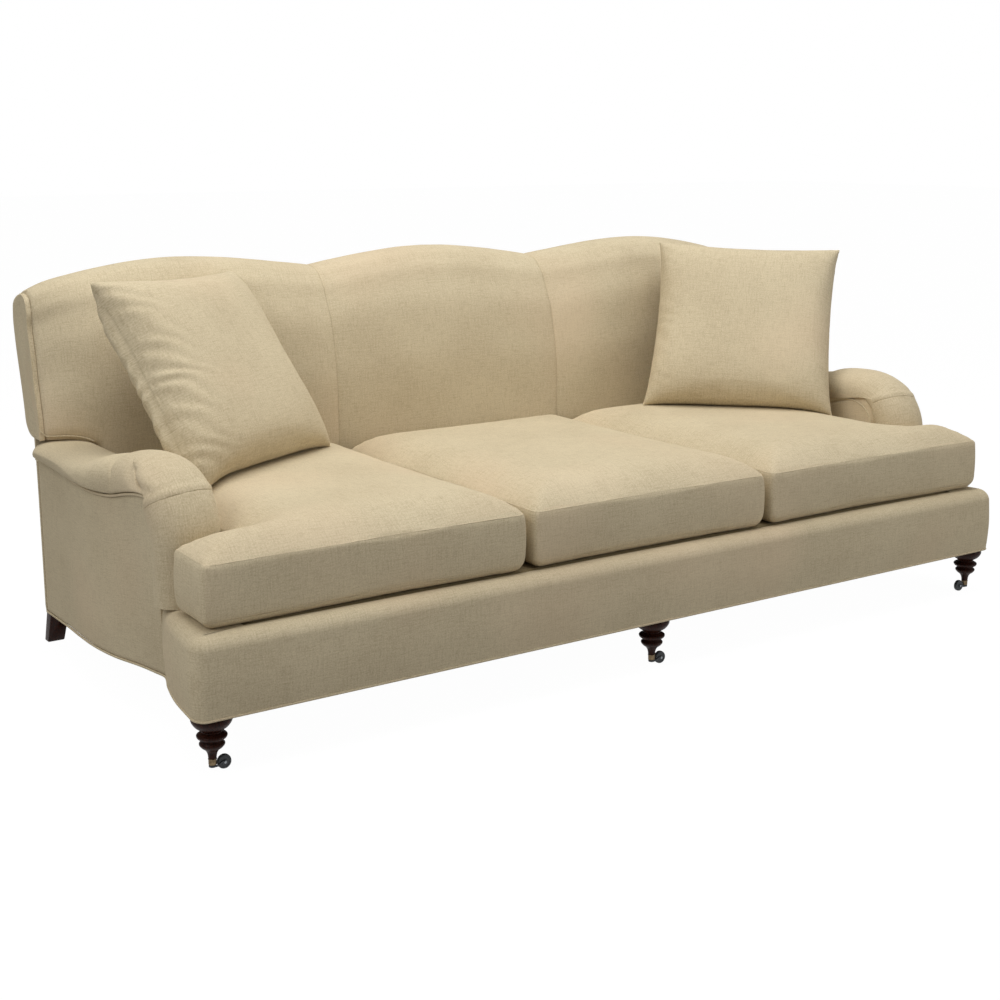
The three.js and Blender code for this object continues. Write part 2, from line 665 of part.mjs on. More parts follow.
// Arm covers
function buildArmPanels() {
  const rearEnd = (z) => rearY(z) - backCoverWall - looseGap;
  const straight = stations(armCoreFront, rearEnd(rearUnderside), planStep).slice(0, -1);
  const tail = 3;
  const outerPoint = (wall) => (u, v, i) => {
    const last = straight[straight.length - 1];
    const run = Math.max(i - straight.length + 1, 0) / tail;
    const foot = straight[i] ?? lerp(last, rearEnd(rearUnderside), run);
    const z = lerp(underZ(foot), armSeatZ(foot), v);
    const y = straight[i] ?? lerp(last, rearEnd(z), run);
    return point(-(armOuterX(y, z) - wall), y, z);
  };
  const columns = straight.length - 1 + tail;
  placePair('outside_arm', between(columns, 3, outerPoint(0), outerPoint(armPanelWall)), linen);
  const places = stations(armCoreFront, armCoreRear, planStep);
  const innerPoint = (wall) => (u, v, i) => {
    const y = places[i];
    return point(-armInner - wall, y, lerp(seatDeckTop + fitGap, armSeatZ(y), v));
  };
  placePair('inside_arm', between(places.length - 1, 1, innerPoint(0), innerPoint(innerArmWall)), linen);
}

// The whole padded arm as a bent roll, before its front is parted at the seam
function armTube() {
  const path = armPathShares.map(([depth, height, thick, shift]) => ({
    middle: point(-rollCentre - shift * rollHalfWidth, borderReturn + depth * armRun, height * backHeight),
    thick: thick * rollHalfWidth,
  }));
  const rings = path.map(({ middle, thick }, i) => {
    const before = path[Math.max(i - 1, 0)].middle;
    const after = path[Math.min(i + 1, path.length - 1)].middle;
    const along = point(0, after.y - before.y, after.z - before.z).normalize();
    const across = point(0, along.z, -along.y);
    const width = rollHalfWidth * (rollEndShares[i] ?? 1);
    const ring = [];
    for (let k = 0; k < armSides; k++) {
      const angle = (k / armSides) * 2 * Math.PI;
      const side = point(1, 0, 0).multiplyScalar(width * Math.cos(angle));
      ring.push(middle.clone().add(side).addScaledVector(across, thick * Math.sin(angle)));
    }
    return ring;
  });
  return loft(rings);
}

function buildArmRolls() {
  const tube = armTube();
  const outer = baseHalfWidth + backHalfWidth;
  const places = stations(armCoreFront - fitGap, sofaDepth, planStep);
  const seatPoint = (drop) => (u, v, i) => {
    const z = armSeatZ(places[i]) + fitGap;
    return point(lerp(-outer, 0, v), places[i], drop ? 0 : z);
  };
  const core = between(places.length - 1, 1, seatPoint(false), seatPoint(true));
  const low = box(-outer, 0, -overrun, armCoreFront, 0, armFrontSeam);
  const [x0, x1] = [-backPostOuter - looseGap, -backPostInner + looseGap];
  const slot = box(x0, x1, frameY(armSeatZ(sofaDepth)) - looseGap, sofaDepth, 0, backHeight);
  const roll = minus(tube, core, low, slot);
  placePair('arm_roll', roll, linen);
  const front = box(-outer, 0, -overrun, armCoreFront - fitGap, seatDeckTop + fitGap, armFrontSeam - fitGap);
  placePair('arm_front', common(tube, front), linen);
}

// Padded inside of the back between two seams
function backPad(x0, x1) {
  const places = stations(x0, x1, cushionSplit / backStations);
  const rearRun = rearRollShares.length;
  const shares = [...padDropShares];
  const capped = shares.filter((share) => share * (backHeight - seatDeckTop) < topRailCover).length;
  const rows = shares.length + rearRun - 1;
  const railRear = topRailFront + topRailDepth + fitGap;
  const level = (x, j) => {
    const crest = crestZ(x);
    const low = seatDeckTop + fitGap;
    const drop = (crest - low) * (shares[j] ?? 0);
    if (j < shares.length) return { z: crest - drop, drop };
    const [, fall] = rearRollShares[j - shares.length];
    return { z: crest - fall * topRailCover, drop: 0 };
  };
  const outer = (u, v, i, j) => {
    const x = places[i];
    const { z, drop } = level(x, j);
    if (j >= shares.length) {
      const [out] = rearRollShares[j - shares.length];
      return point(x, lerp(crestLine, sofaDepth - fitGap, out), z);
    }
    const bend = endOutset * smooth((Math.abs(x) - endBendStart) / (backHalfWidth - endBendStart)) ** 2;
    const fade = smooth(drop / endBendFade);
    return point(x, insideBackLine + leanAt(drop) + bend * fade, z);
  };
  const inner = (u, v, i, j) => {
    const x = places[i];
    const { z } = level(x, j);
    const cap = crestZ(x) - topRailCover;
    const start = shares.length - capped;
    if (j < start) return point(x, frameY(z) - fitGap, z);
    const share = Math.min((j - start) / (rows - 1 - start), 1);
    const y = lerp(frameY(cap) - fitGap, railRear, share);
    return point(x, y, j === rows ? z : cap);
  };
  return between(places.length - 1, rows, outer, inner);
}

function buildBack() {
  const seam = cushionSplit;
  const end = backHalfWidth - backCoverWall - fitGap;
  place(sofa, 'inside_back_centre', backPad(-seam + fitGap, seam - fitGap), linen);
  const [x0, x1] = [-backHalfWidth - overrun, -armInner + looseGap];
  const notch = box(x0, x1, insideBackLine - overrun, sofaDepth, 0, wingUnderside);
  const side = minus(backPad(-end, -seam - fitGap), notch);
  placePair('inside_back', side, linen);
  const low = 2;
  const high = 4;
  const places = stations(-end, end, cushionSplit / backStations);
  const halfAt = (z) => (z < wingUnderside ? sideX(rearY(z)) : end);
  const coverPoint = (wall) => (u, v, i, j) => {
    const x = places[i];
    const top = crestZ(x) - topRailCover * backCoverTopShare;
    const z = j <= low
      ? lerp(rearUnderside, wingUnderside - fitGap, j / low)
      : lerp(wingUnderside, top, (j - low - 1) / high);
    return point((x / end) * halfAt(z), rearY(z) - wall, z);
  };
  const cover = between(places.length - 1, low + 1 + high, coverPoint(0), coverPoint(backCoverWall));
  place(sofa, 'outside_back', cover, linen);
}

// Flat ends of the back, over the arms
function buildWingEnds() {
  const top = crestZ(backHalfWidth);
  const front = [];
  const rear = [];
  for (let k = 0; k <= 8; k++) {
    const z = lerp(wingUnderside, top, k / 8);
    const drop = top - z;
    const bend = endOutset * smooth(drop / endBendFade);
    front.push([insideBackLine + leanAt(drop) + bend, z]);
    rear.push([rearY(z), z]);
  }
  front.pop();
  rear.pop();
  const crown = rearRollShares.map(([out, fall]) => [
    lerp(crestLine, sofaDepth - fitGap, out), top - fall * topRailCover,
  ]);
  const outline = [...front, [crestLine, top], ...crown.slice(0, -1), ...rear.reverse()];
  const end = sidePrism(outline, -backHalfWidth, -backHalfWidth + backCoverWall);
  placePair('wing_end', end, linen);
}

// Plan of a seat cushion with rounded corners and sides drawn in between them
function cushionOutline(corners) {
  const outline = [];
  corners.forEach((corner, i) => {
    const before = corners[(i + corners.length - 1) % corners.length];
    const after = corners[(i + 1) % corners.length];
    const into = new THREE.Vector2(corner[0] - before[0], corner[1] - before[1]).normalize();
    const out = new THREE.Vector2(after[0] - corner[0], after[1] - corner[1]);
    const length = out.length();
    out.normalize();
    const radius = cushionCornerRadius;
    const middle = new THREE.Vector2(...corner);
    const start = middle.clone().addScaledVector(into, -radius);
    const stop = middle.clone().addScaledVector(out, radius);
    for (let k = 0; k <= 2; k++) {
      const t = k / 2;
      const p = start.clone().multiplyScalar((1 - t) ** 2);
      p.addScaledVector(middle, 2 * t * (1 - t)).addScaledVector(stop, t * t);
      outline.push(p);
    }
    const normal = new THREE.Vector2(-out.y, out.x);
    const pull = cushionDrawIn * Math.min(length / insideBackLine, 1);
    for (const share of sideShares) {
      const run = lerp(radius, length - radius, share);
      const inward = pull * Math.sin(Math.PI * share);
      outline.push(middle.clone().addScaledVector(out, run).addScaledVector(normal, inward));
    }
  });
  return outline;
}

function edgeDistance(p, outline) {
  let least = Infinity;
  outline.forEach((a, i) => {
    const b = outline[(i + 1) % outline.length];
    const run = b.clone().sub(a);
    const share = THREE.MathUtils.clamp(p.clone().sub(a).dot(run) / run.lengthSq(), 0, 1);
    least = Math.min(least, a.clone().addScaledVector(run, share).distanceTo(p));
  });
  return least;
}

// Boxed cushion: crowned top, swelling boxing, slightly bellied underside
function cushion(corners, hub) {
  const outline = cushionOutline(corners);
  const seamMiddle = (cushionSeamLow + cushionSeamHigh) / 2;
  const crown = (p, height) => {
    const rise = 1 - Math.min(edgeDistance(p, outline) / crownReach, 1);
    return height * (1 - rise ** 3);
  };
  const drawn = (share) => outline.map((p) => p.clone().lerp(hub, share));
  const rings = [];
  for (const share of bellyShares) {
    rings.push(drawn(share).map((p) => point(p.x, p.y, cushionSeamLow - crown(p, cushionBelly))));
  }
  rings.push(outline.map((p) => {
    const outward = p.clone().sub(hub).normalize().multiplyScalar(cushionBulge);
    return point(p.x + outward.x, p.y + outward.y, seamMiddle);
  }));
  for (const share of crownShares) {
    rings.push(drawn(share).map((p) => point(p.x, p.y, cushionSeamHigh + crown(p, cushionCrown))));
  }
  return loft(rings);
}

function buildCushions() {
  const rear = insideBackLine - looseGap - cushionBulge;
  const inner = cushionSplit - looseGap / 2 - cushionBulge;
  const middleHub = new THREE.Vector2(0, (cushionFront + rear) / 2);
  const front = cushionFront;
  const middle = cushion([[-inner, front], [inner, front], [inner, rear], [-inner, rear]], middleHub);
  place(sofa, 'seat_cushion_centre', middle, linen);
  const seamSide = -cushionSplit - looseGap / 2 - cushionBulge;
  const armSide = -rollCentre + rollHalfWidth + looseGap + cushionBulge;
  const earY = cushionFront + earDepth;
  const hub = new THREE.Vector2((seamSide + armSide) / 2, (cushionFront + earY) / 2);
  const outer = cushion([
    [-earOuter, cushionFront], [seamSide, cushionFront], [seamSide, rear], [armSide, rear], [armSide, earY],
    [-earOuter, earY],
  ], hub);
  placePair('seat_cushion', outer, linen);
}

// Knife-edged throw pillow, upright and centred on the origin
function pillow() {
  const half = pillowSide / 2;
  const face = (way) => (u, v) => {
    const [s, t] = [2 * u - 1, 2 * v - 1];
    const x = s * (half - pillowDrawIn * (1 - t * t) * Math.abs(s) ** 3);
    const z = t * (half - pillowDrawIn * (1 - s * s) * Math.abs(t) ** 3);
    const swell = ((1 - s ** 4) * (1 - t ** 4)) ** 0.75;
    return point(x, way * (pillowEdge + (pillowHalfThickness - pillowEdge) * swell), z);
  };
  return between(pillowColumns, pillowColumns, face(-1), face(1));
}

function buildPillows() {
  for (const [side, pose] of Object.entries(pillowPoses)) {
    const mesh = place(sofa, `throw_pillow_${side}`, pillow(), linen);
    const x = pose.side * (armInner - pose.inset);
    mesh.position.set(x, insideBackLine - pose.setback, cushionSeamHigh + cushionCrown + pose.rise);
    const [tilt, roll, yaw] = [pose.tilt, pose.roll, pose.yaw].map(THREE.MathUtils.degToRad);
    mesh.rotation.set(tilt, roll, yaw, 'ZXY');
  }
}

// Turned front leg, its stud and its caster, all about the leg's axis
function frontLeg() {
  const shoulder = ferruleBottom + ferruleHeight + fitGap;
  const seat = ferruleBottom + ferruleFloor + fitGap;
  const tenon = legStemRadius - ferruleWall - fitGap;
  const outline = legShares.map(([r, z]) => [r * legDiscRadius, z * legTop]);
  const pinHole = pivotRadius + fitGap;
  return turned([
    [0, studBottom], [studRadius + fitGap, studBottom], [studRadius + fitGap, railBottom - fitGap],
    [legSpigotRadius, railBottom - fitGap], [legSpigotRadius, legTop], ...outline,
    [legStemRadius, shoulder], [tenon, shoulder], [tenon, seat], [pinHole, seat],
    [pinHole, seat + pivotRise], [0, seat + pivotRise],
  ], legSegments);
}

function ferrule() {
  const bore = pivotRadius + boreClearance;
  const inner = legStemRadius - ferruleWall;
  const floor = ferruleBottom + ferruleFloor;
  const top = ferruleBottom + ferruleHeight;
  return turned([
    [bore, ferruleBottom], [legStemRadius, ferruleBottom], [legStemRadius, top], [inner, top], [inner, floor],
    [bore, floor], [bore, ferruleBottom],
  ], smallSegments);
}

function axle(radius, reach) {
  const geometry = new THREE.CylinderGeometry(radius, radius, 2 * reach, smallSegments);
  return solid(geometry.translate(wheelTrail, 0, wheelRadius));
}

const cheekInner = wheelHalfWidth + cheekGap;
const cheekOuter = cheekInner + cheekWall;

// Swivel plate with its pin and the two cheeks that hold the wheel
function swivelFork() {
  const top = ferruleBottom - fitGap;
  const base = top - plateHeight;
  const plate = turned([
    [0, base], [plateRadius, base], [plateRadius, top], [pivotRadius, top],
    [pivotRadius, top + pivotRise], [0, top + pivotRise],
  ], smallSegments);
  const side = cheekShares.map(([along, up]) => new THREE.Vector2(along * wheelTrail, up * wheelRadius));
  const cheek = new THREE.ExtrudeGeometry(new THREE.Shape(side), { depth: cheekWall, bevelEnabled: false });
  cheek.rotateX(Math.PI / 2);
  const near = solid(cheek.clone().translate(0, -cheekInner, 0));
  const far = solid(cheek.clone().translate(0, cheekOuter, 0));
  return minus(joined(plate, near, far), axle(axleRadius + fitGap, cheekOuter + overrun));
}

function wheel() {
  const edge = wheelEdge;
  const bore = axleRadius + boreClearance;
  const half = wheelHalfWidth;
  const geometry = turned([
    [bore, -half], [wheelRadius - edge, -half], [wheelRadius, edge - half], [wheelRadius, half - edge],
    [wheelRadius - edge, half], [bore, half], [bore, -half],
  ], wheelSegments);
  return solid(geometry.rotateX(Math.PI / 2).translate(wheelTrail, 0, wheelRadius));
}

function buildFrontLegs() {
  const stud = turned([[0, studBottom + fitGap], [studRadius, studBottom + fitGap], [studRadius, studTop],
    [0, studTop]], smallSegments);
  for (const [side, x] of Object.entries({ left: -legX, centre: 0, right: legX })) {
    const station = new THREE.Group();
    station.position.set(x, legY, 0);
    sofa.add(station);
    place(station, `front_leg_${side}`, frontLeg(), walnut);
    place(station, `leg_stud_${side}`, stud, springSteel);
    place(station, `caster_ferrule_${side}`, ferrule(), agedBrass);
    const caster = new THREE.Group();
    caster.rotation.z = THREE.MathUtils.degToRad(casterHeadings[side]);
    station.add(caster);
    place(caster, `caster_fork_${side}`, swivelFork(), castIron);
    place(caster, `caster_axle_${side}`, axle(axleRadius, cheekOuter + cheekGap), springSteel);
    place(caster, `caster_wheel_${side}`, wheel(), wheelRubber);
  }
}

// Square back leg, raked from its foot up to a shoulder under the covers, with a neck up to the rail
function backLeg(outer) {
  const start = backLegFront + backLegTop.depth / 2;
  const shoulder = (y) => underZ(y) - shoulderGap;
  const levels = [
    { ...backLegFoot, height: () => 0, shift: 0 },
    { ...backLegTop, rake: 0, height: shoulder, shift: 0 },
    { ...backLegNeck, rake: -neckSetback, height: shoulder, shift: neckInset * outer },
    { ...backLegNeck, rake: -neckSetback, height: (y) => railUnder(y) - fitGap, shift: neckInset * outer },
  ];
  return loft(levels.map(({ width, depth, height, rake, shift }) => {
    return [[-1, -1], [1, -1], [1, 1], [-1, 1]].map(([i, j]) => {
      const y = start + rake + (j * depth) / 2;
      return point((i * width) / 2 + shift, y, height(y));
    });
  }));
}

function buildBackLegs() {
  placePair('back_leg', backLeg(1).translate(-backLegX, 0, 0), walnut);
  place(sofa, 'back_leg_centre', backLeg(0), walnut);
}

buildSeatFrame();
buildBackFrame();
buildArmFrame();
buildSprings();
buildBorder();
buildDeck();
buildArmPanels();
buildArmRolls();
buildBack();
buildWingEnds();
buildCushions();
buildPillows();
buildFrontLegs();
buildBackLegs();

// The part's origin lies under the middle of the whole
const whole = new THREE.Box3().setFromObject(sofa);
sofa.position.y = -(whole.min.y + whole.max.y) / 2;

export default sofa;
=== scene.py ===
# %% [markdown]
# # Dressing a camelback sofa
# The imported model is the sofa's fixed frame: rails, posts, legs, casters and plain solids where the padding goes.
# This lesson dresses it. Every visible piece is made at its real place, in metres, around that frame.
# The frame is loaded before anything else, because each piece is measured from it.

# %% Load the frame
import math

import bmesh
import bpy
import numpy as np
from mathutils import Matrix, Vector
from mathutils.bvhtree import BVHTree


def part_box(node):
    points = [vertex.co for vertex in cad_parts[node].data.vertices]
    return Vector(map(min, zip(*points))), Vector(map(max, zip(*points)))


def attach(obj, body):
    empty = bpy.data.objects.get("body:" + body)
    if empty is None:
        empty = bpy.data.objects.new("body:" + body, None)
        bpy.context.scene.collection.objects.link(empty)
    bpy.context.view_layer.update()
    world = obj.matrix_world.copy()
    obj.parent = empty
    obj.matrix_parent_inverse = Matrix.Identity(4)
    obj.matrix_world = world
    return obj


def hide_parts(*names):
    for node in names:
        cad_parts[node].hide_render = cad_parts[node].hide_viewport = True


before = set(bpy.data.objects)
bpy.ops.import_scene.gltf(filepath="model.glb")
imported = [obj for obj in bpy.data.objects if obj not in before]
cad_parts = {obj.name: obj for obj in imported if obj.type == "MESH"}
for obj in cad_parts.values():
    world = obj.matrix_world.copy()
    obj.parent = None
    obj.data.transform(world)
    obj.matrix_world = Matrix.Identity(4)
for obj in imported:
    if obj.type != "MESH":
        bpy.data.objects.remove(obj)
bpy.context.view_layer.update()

# %% [markdown]
# ## The sofa's sizes
# Upholstery follows the frame, so the covers use the same main sizes as the frame does: widths, heights and the
# curves that shape the back and the sides. Depths are counted from the front of the base, and one shift brings them
# to the frame's own origin under the middle of the sofa. That shift is measured from a front leg, not typed in.

# %% Main sizes, in metres
FRONT_LEG_DEPTH = 0.042
low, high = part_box("front_leg_left")
SHIFT = (low.y + high.y) / 2 - FRONT_LEG_DEPTH

HALF_WIDTH = 1.148  # to the side of the base at its front
DEPTH = 1.115
BASE = 0.116  # lower edge of the covers at the front
REAR_DROP = 0.034  # by which that edge slopes down to the rear
DECK_TOP = 0.279
BACK_FRONT = 0.886
CREST_DEPTH = 1.045
BACK_TOP = 0.921
BACK_HALF = 1.120
CAMEL_DROP = 0.075
REAR_RAKE = 0.122
REAR_FOOT = DEPTH - REAR_RAKE
SPLIT = 0.352  # seam between the middle section and an outer one
RETURN = 0.284  # depth of the front border's side returns
ARM_INSIDE = 0.985
ROLL_MIDDLE = 1.055
ROLL_HALF = 0.076
GAP = 0.0003
print("shift of depths:", round(SHIFT, 6))

# %% [markdown]
# ## Curves through a few points
# A few measured points describe each curve of the sofa: the camel line, the lean of the back, the side of the base
# in plan. A smooth line through them could be a Bezier curve, but a function is easier to reuse, since the covers,
# the welts and the seams all ask for the same line at different places. A Hermite curve passes through each point.

# %% Smooth function through a table of points
def through(points, first=1.0, second=1.0):
    table = np.array(points, float) * [first, second]
    x, y = table.T
    after = np.minimum(np.arange(len(x)) + 1, len(x) - 1)
    before = np.maximum(np.arange(len(x)) - 1, 0)
    slope = (y[after] - y[before]) / (x[after] - x[before])

    def curve(t):
        t = np.asarray(t, float)
        i = np.clip(np.searchsorted(x, t, side="right") - 1, 0, len(x) - 2)
        span = x[i + 1] - x[i]
        s = np.clip((t - x[i]) / span, 0, 1)
        ends = y[i] * (2 * s**3 - 3 * s**2 + 1) + y[i + 1] * (3 * s**2 - 2 * s**3)
        return ends + span * (slope[i] * (s**3 - 2 * s**2 + s) + slope[i + 1] * (s**3 - s**2))

    return curve


def smooth(t):
    t = np.clip(t, 0, 1)
    return t * t * (3 - 2 * t)


# %% Curves of the covers
side_x = through([
    (0.027, 0.998), (0.125, 0.986), (0.2, 0.969), (0.255, 0.952), (0.3, 0.9545), (0.359, 0.961), (0.448, 0.976),
    (0.538, 0.981), (0.628, 0.978), (0.717, 0.972), (0.807, 0.968), (0.89, 0.9645), (0.96, 0.961)],
    DEPTH, HALF_WIDTH)
camel = through([
    (0, 0), (0.071, 0.04), (0.177, 0.21), (0.248, 0.36), (0.3115, 0.47), (0.38, 0.39), (0.46, 0.24), (0.549, 0.1),
    (0.655, 0.03), (0.743, 0.1), (0.823, 0.26), (0.885, 0.43), (0.947, 0.65), (1, 1)], BACK_HALF, CAMEL_DROP)
lean = through([
    (0, 1), (0.008, 0.84), (0.022, 0.7), (0.047, 0.59), (0.078, 0.48), (0.125, 0.39), (0.219, 0.214), (0.344, 0.1),
    (0.469, 0.025), (0.711, 0), (1, 0)], BACK_TOP - DECK_TOP, CREST_DEPTH - BACK_FRONT)
rear_line = through([
    (0.089, 1), (0.326, 0.845), (0.489, 0.713), (0.6015, 0.539), (0.723, 0.219), (0.8425, 0), (0.91, 0.018),
    (1, 0.027)], BACK_TOP, REAR_RAKE)
arm_seat_line = through([
    (-0.0063, 0.544), (0.0608, 0.54), (0.14, 0.527), (0.2352, 0.508), (0.356, 0.497), (0.53, 0.494), (1, 0.494)],
    DEPTH - RETURN, BACK_TOP)


def crest(x):
    return BACK_TOP - camel(np.abs(x))


def rear_y(z):
    return DEPTH - rear_line(z)


def arm_seat(y):
    return arm_seat_line(y - RETURN)


def underside(y):
    return BASE - REAR_DROP * np.clip((y - RETURN) / (REAR_FOOT - RETURN), 0, 1)


CORE_FRONT = RETURN + GAP  # where the flat panels of an arm begin
FLARE, FLARE_RUN = 0.028, 0.280


def arm_outer(y, z):
    rise = (z - BASE) / (arm_seat(CORE_FRONT) - BASE)
    return side_x(y) + FLARE * rise * (1 - smooth((y - CORE_FRONT) / FLARE_RUN))


print("crest over the seams:", round(float(crest(SPLIT)), 3), "m; arm seat at its front:", round(float(arm_seat(RETURN)), 3))

# %% [markdown]
# ## From grids of points to a mesh
# A cover is a sheet bent over padding. Its surface could be sculpted, or built from a cage with Subdivision Surface.
# Here each one is a grid of points worked out from the curves above, because neighbouring covers then meet exactly.
# The helper collects grids, merges the points that coincide, turns all faces outwards, and lays a UV map in metres,
# so that the weave has the same scale on every piece and follows the cloth round its curves.

# %% A helper that turns grids of points into one closed mesh
MERGE = 1e-5
WEAVE_MAP = "weave"


def run_length(points, axis):
    """Distance along the middle of a grid, in metres."""
    steps = np.linalg.norm(np.diff(points, axis=axis), axis=2)
    mean = steps.mean(axis=1 - axis)
    return np.concatenate([[0], np.cumsum(mean)])


class Skin:
    def __init__(self):
        self.points, self.faces, self.maps, self.count = [], [], [], 0

    def add(self, points, faces, weave):
        self.points.append(points.reshape(-1, 3))
        self.faces.append(faces + self.count)
        self.maps.append(weave.reshape(-1, 2)[faces])
        self.count += points.size // 3

    def grid(self, points, keep=None, weave=None):
        columns, rows = points.shape[:2]
        if weave is None:
            u, v = run_length(points, 0), run_length(points, 1)
            weave = np.stack(np.meshgrid(u, v, indexing="ij"), -1)
        ids = np.arange(columns * rows).reshape(columns, rows)
        faces = np.stack([ids[:-1, :-1], ids[1:, :-1], ids[1:, 1:], ids[:-1, 1:]], -1)
        faces = faces.reshape(-1, 4) if keep is None else faces[keep]
        self.add(points, faces, weave)
        return weave

    def walls(self, outer, inner, keep, weave):
        """Faces that join the kept part's edges on two grids."""
        columns, rows = outer.shape[:2]
        ids = np.arange(columns * rows).reshape(columns, rows)
        framed = np.zeros((columns + 1, rows + 1), bool)
        framed[1:-1, 1:-1] = keep
        across = framed[:-1, 1:-1] != framed[1:, 1:-1]
        along = framed[1:-1, :-1] != framed[1:-1, 1:]
        edges = np.concatenate([
            np.stack([ids[:, :-1][across], ids[:, 1:][across]], 1),
            np.stack([ids[:-1, :][along], ids[1:, :][along]], 1)])
        both = np.concatenate([outer.reshape(-1, 3), inner.reshape(-1, 3)])
        maps = np.concatenate([weave.reshape(-1, 2), weave.reshape(-1, 2)])
        second = columns * rows
        self.add(both, np.stack([edges[:, 0], edges[:, 1], edges[:, 1] + second, edges[:, 0] + second], 1), maps)

    def shell(self, outer, inner, keep=None):
        keep = np.ones((outer.shape[0] - 1, outer.shape[1] - 1), bool) if keep is None else keep
        weave = self.grid(outer, keep)
        self.grid(inner, keep, weave)
        self.walls(outer, inner, keep, weave)

    def build(self, name, sharp=50):
        mesh = bpy.data.meshes.new(name)
        points = np.concatenate(self.points) + [0, SHIFT, 0]
        mesh.from_pydata(points.tolist(), [], np.concatenate(self.faces).tolist())
        layer = mesh.uv_layers.new(name=WEAVE_MAP)
        layer.data.foreach_set("uv", np.concatenate(self.maps).astype(np.float32).ravel())
        piece = bpy.data.objects.new(name, mesh)
        bpy.context.scene.collection.objects.link(piece)
        tidy(piece, sharp)
        return piece


def tidy(piece, sharp=50):
    """Merges doubles, turns faces outwards and shades smoothly between sharp edges."""
    work = bmesh.new()
    work.from_mesh(piece.data)
    bmesh.ops.remove_doubles(work, verts=work.verts, dist=MERGE)
    bmesh.ops.dissolve_degenerate(work, edges=work.edges, dist=MERGE)
    bmesh.ops.delete(work, geom=[v for v in work.verts if not v.link_faces], context="VERTS")
    bmesh.ops.recalc_face_normals(work, faces=work.faces)
    work.to_mesh(piece.data)
    work.free()
    piece.data.shade_smooth()
    piece.data.set_sharp_from_angle(angle=math.radians(sharp))


def mirrored(piece, name):
    """A copy of a left-hand piece for the right-hand side."""
    mesh = piece.data.copy()
    mesh.name = name
    mesh.transform(Matrix.Scale(-1, 4, (1, 0, 0)))
    mesh.flip_normals()
    other = bpy.data.objects.new(name, mesh)
    bpy.context.scene.collection.objects.link(other)
    return other


def closed_edges(piece):
    work = bmesh.new()
    work.from_mesh(piece.data)
    open_edges = sum(1 for e in work.edges if len(e.link_faces) != 2)
    work.free()
    return open_edges


def rounded(distance, radius):
    """How far a padded edge draws in at a distance from it: a quarter of a circle."""
    d = np.clip(distance, 0, radius)
    return radius - np.sqrt(np.maximum(radius**2 - (radius - d) ** 2, 0))


def spread(start, stop, count, ends=0.0):
    """Places from start to stop, closer together near both ends as ends goes from 0 to 1."""
    t = np.linspace(0, 1, count)
    eased = (1 - np.cos(math.pi * t)) / 2
    return start + (stop - start) * ((1 - ends) * t + ends * eased)


# %% [markdown]
# ## Shader maths as plain expressions
# A material is a network of nodes, and a long network is hard to read. One small class wraps a socket and adds a
# Math node whenever two values are added or multiplied, so that a pattern can be written as one line of maths.

# %% Sockets that behave like numbers
def find_socket(sockets, key):
    for socket in sockets:
        if socket.identifier == key or (socket.name == key and socket.enabled):
            return socket
    raise KeyError(key)


class Wire:
    def __init__(self, finish, socket):
        self.finish, self.socket = finish, socket

    def maths(self, operation, *values):
        inputs = {("Value", "Value_001", "Value_002")[i]: v for i, v in enumerate(values)}
        return self.finish.node("ShaderNodeMath", {"operation": operation}, inputs, "Value")

    def __add__(self, other):
        return self.maths("ADD", self, other)

    def __sub__(self, other):
        return self.maths("SUBTRACT", self, other)

    def __rsub__(self, other):
        return self.maths("SUBTRACT", other, self)

    def __mul__(self, other):
        return self.maths("MULTIPLY", self, other)

    def __truediv__(self, other):
        return self.maths("DIVIDE", self, other)

    def __rtruediv__(self, other):
        return self.maths("DIVIDE", other, self)

    def __pow__(self, other):
        return self.maths("POWER", self, other)

    __radd__ = __add__
    __rmul__ = __mul__


class Finish:
    """A material under construction."""

    def __init__(self, name):
        self.material = bpy.data.materials.new(name)
        self.material.use_nodes = True
        self.tree = self.material.node_tree
        self.tree.nodes.clear()
        self.output = self.tree.nodes.new("ShaderNodeOutputMaterial")

    def node(self, kind, settings=None, inputs=None, output=None):
        node = self.tree.nodes.new(kind)
        for key, value in (settings or {}).items():
            if key == "stops":
                ramp = node.color_ramp.elements
                while len(ramp) < len(value):
                    ramp.new(1)
                for element, (place, colour) in zip(ramp, value):
                    element.position, element.color = place, colour
            else:
                setattr(node, key, value)
        for key, value in (inputs or {}).items():
            socket = find_socket(node.inputs, key)
            if isinstance(value, Wire):
                self.tree.links.new(value.socket, socket)
            else:
                socket.default_value = value
        return Wire(self, find_socket(node.outputs, output) if output else node.outputs[0])

    def mix(self, first, second, share):
        inputs = {"Factor_Float": share, "A_Color": first, "B_Color": second}
        return self.node("ShaderNodeMix", {"data_type": "RGBA"}, inputs, "Result_Color")

    def noise(self, vector, scale, detail=2.0, roughness=0.5):
        inputs = {"Vector": vector, "Scale": scale, "Detail": detail, "Roughness": roughness}
        return self.node("ShaderNodeTexNoise", {"normalize": True}, inputs, "Fac")

    def stretched(self, vector, scales):
        return self.node("ShaderNodeMapping", {}, {"Vector": vector, "Scale": scales}, "Vector")

    def bump(self, height, strength, distance):
        inputs = {"Height": height, "Strength": strength, "Distance": distance}
        return self.node("ShaderNodeBump", {}, inputs, "Normal")

    def surface(self, **sockets):
        names = {key.replace("_", " "): value for key, value in sockets.items()}
        shader = self.node("ShaderNodeBsdfPrincipled", {}, names, "BSDF")
        self.tree.links.new(shader.socket, self.output.inputs["Surface"])
        return self.material


def tone(red, green, blue):
    """A colour as it is seen, from 0 to 255, in the linear values that shaders use."""
    seen = np.array([red, green, blue]) / 255
    linear = np.where(seen <= 0.04045, seen / 12.92, ((seen + 0.055) / 1.055) ** 2.4)
    return (*linear.tolist(), 1.0)


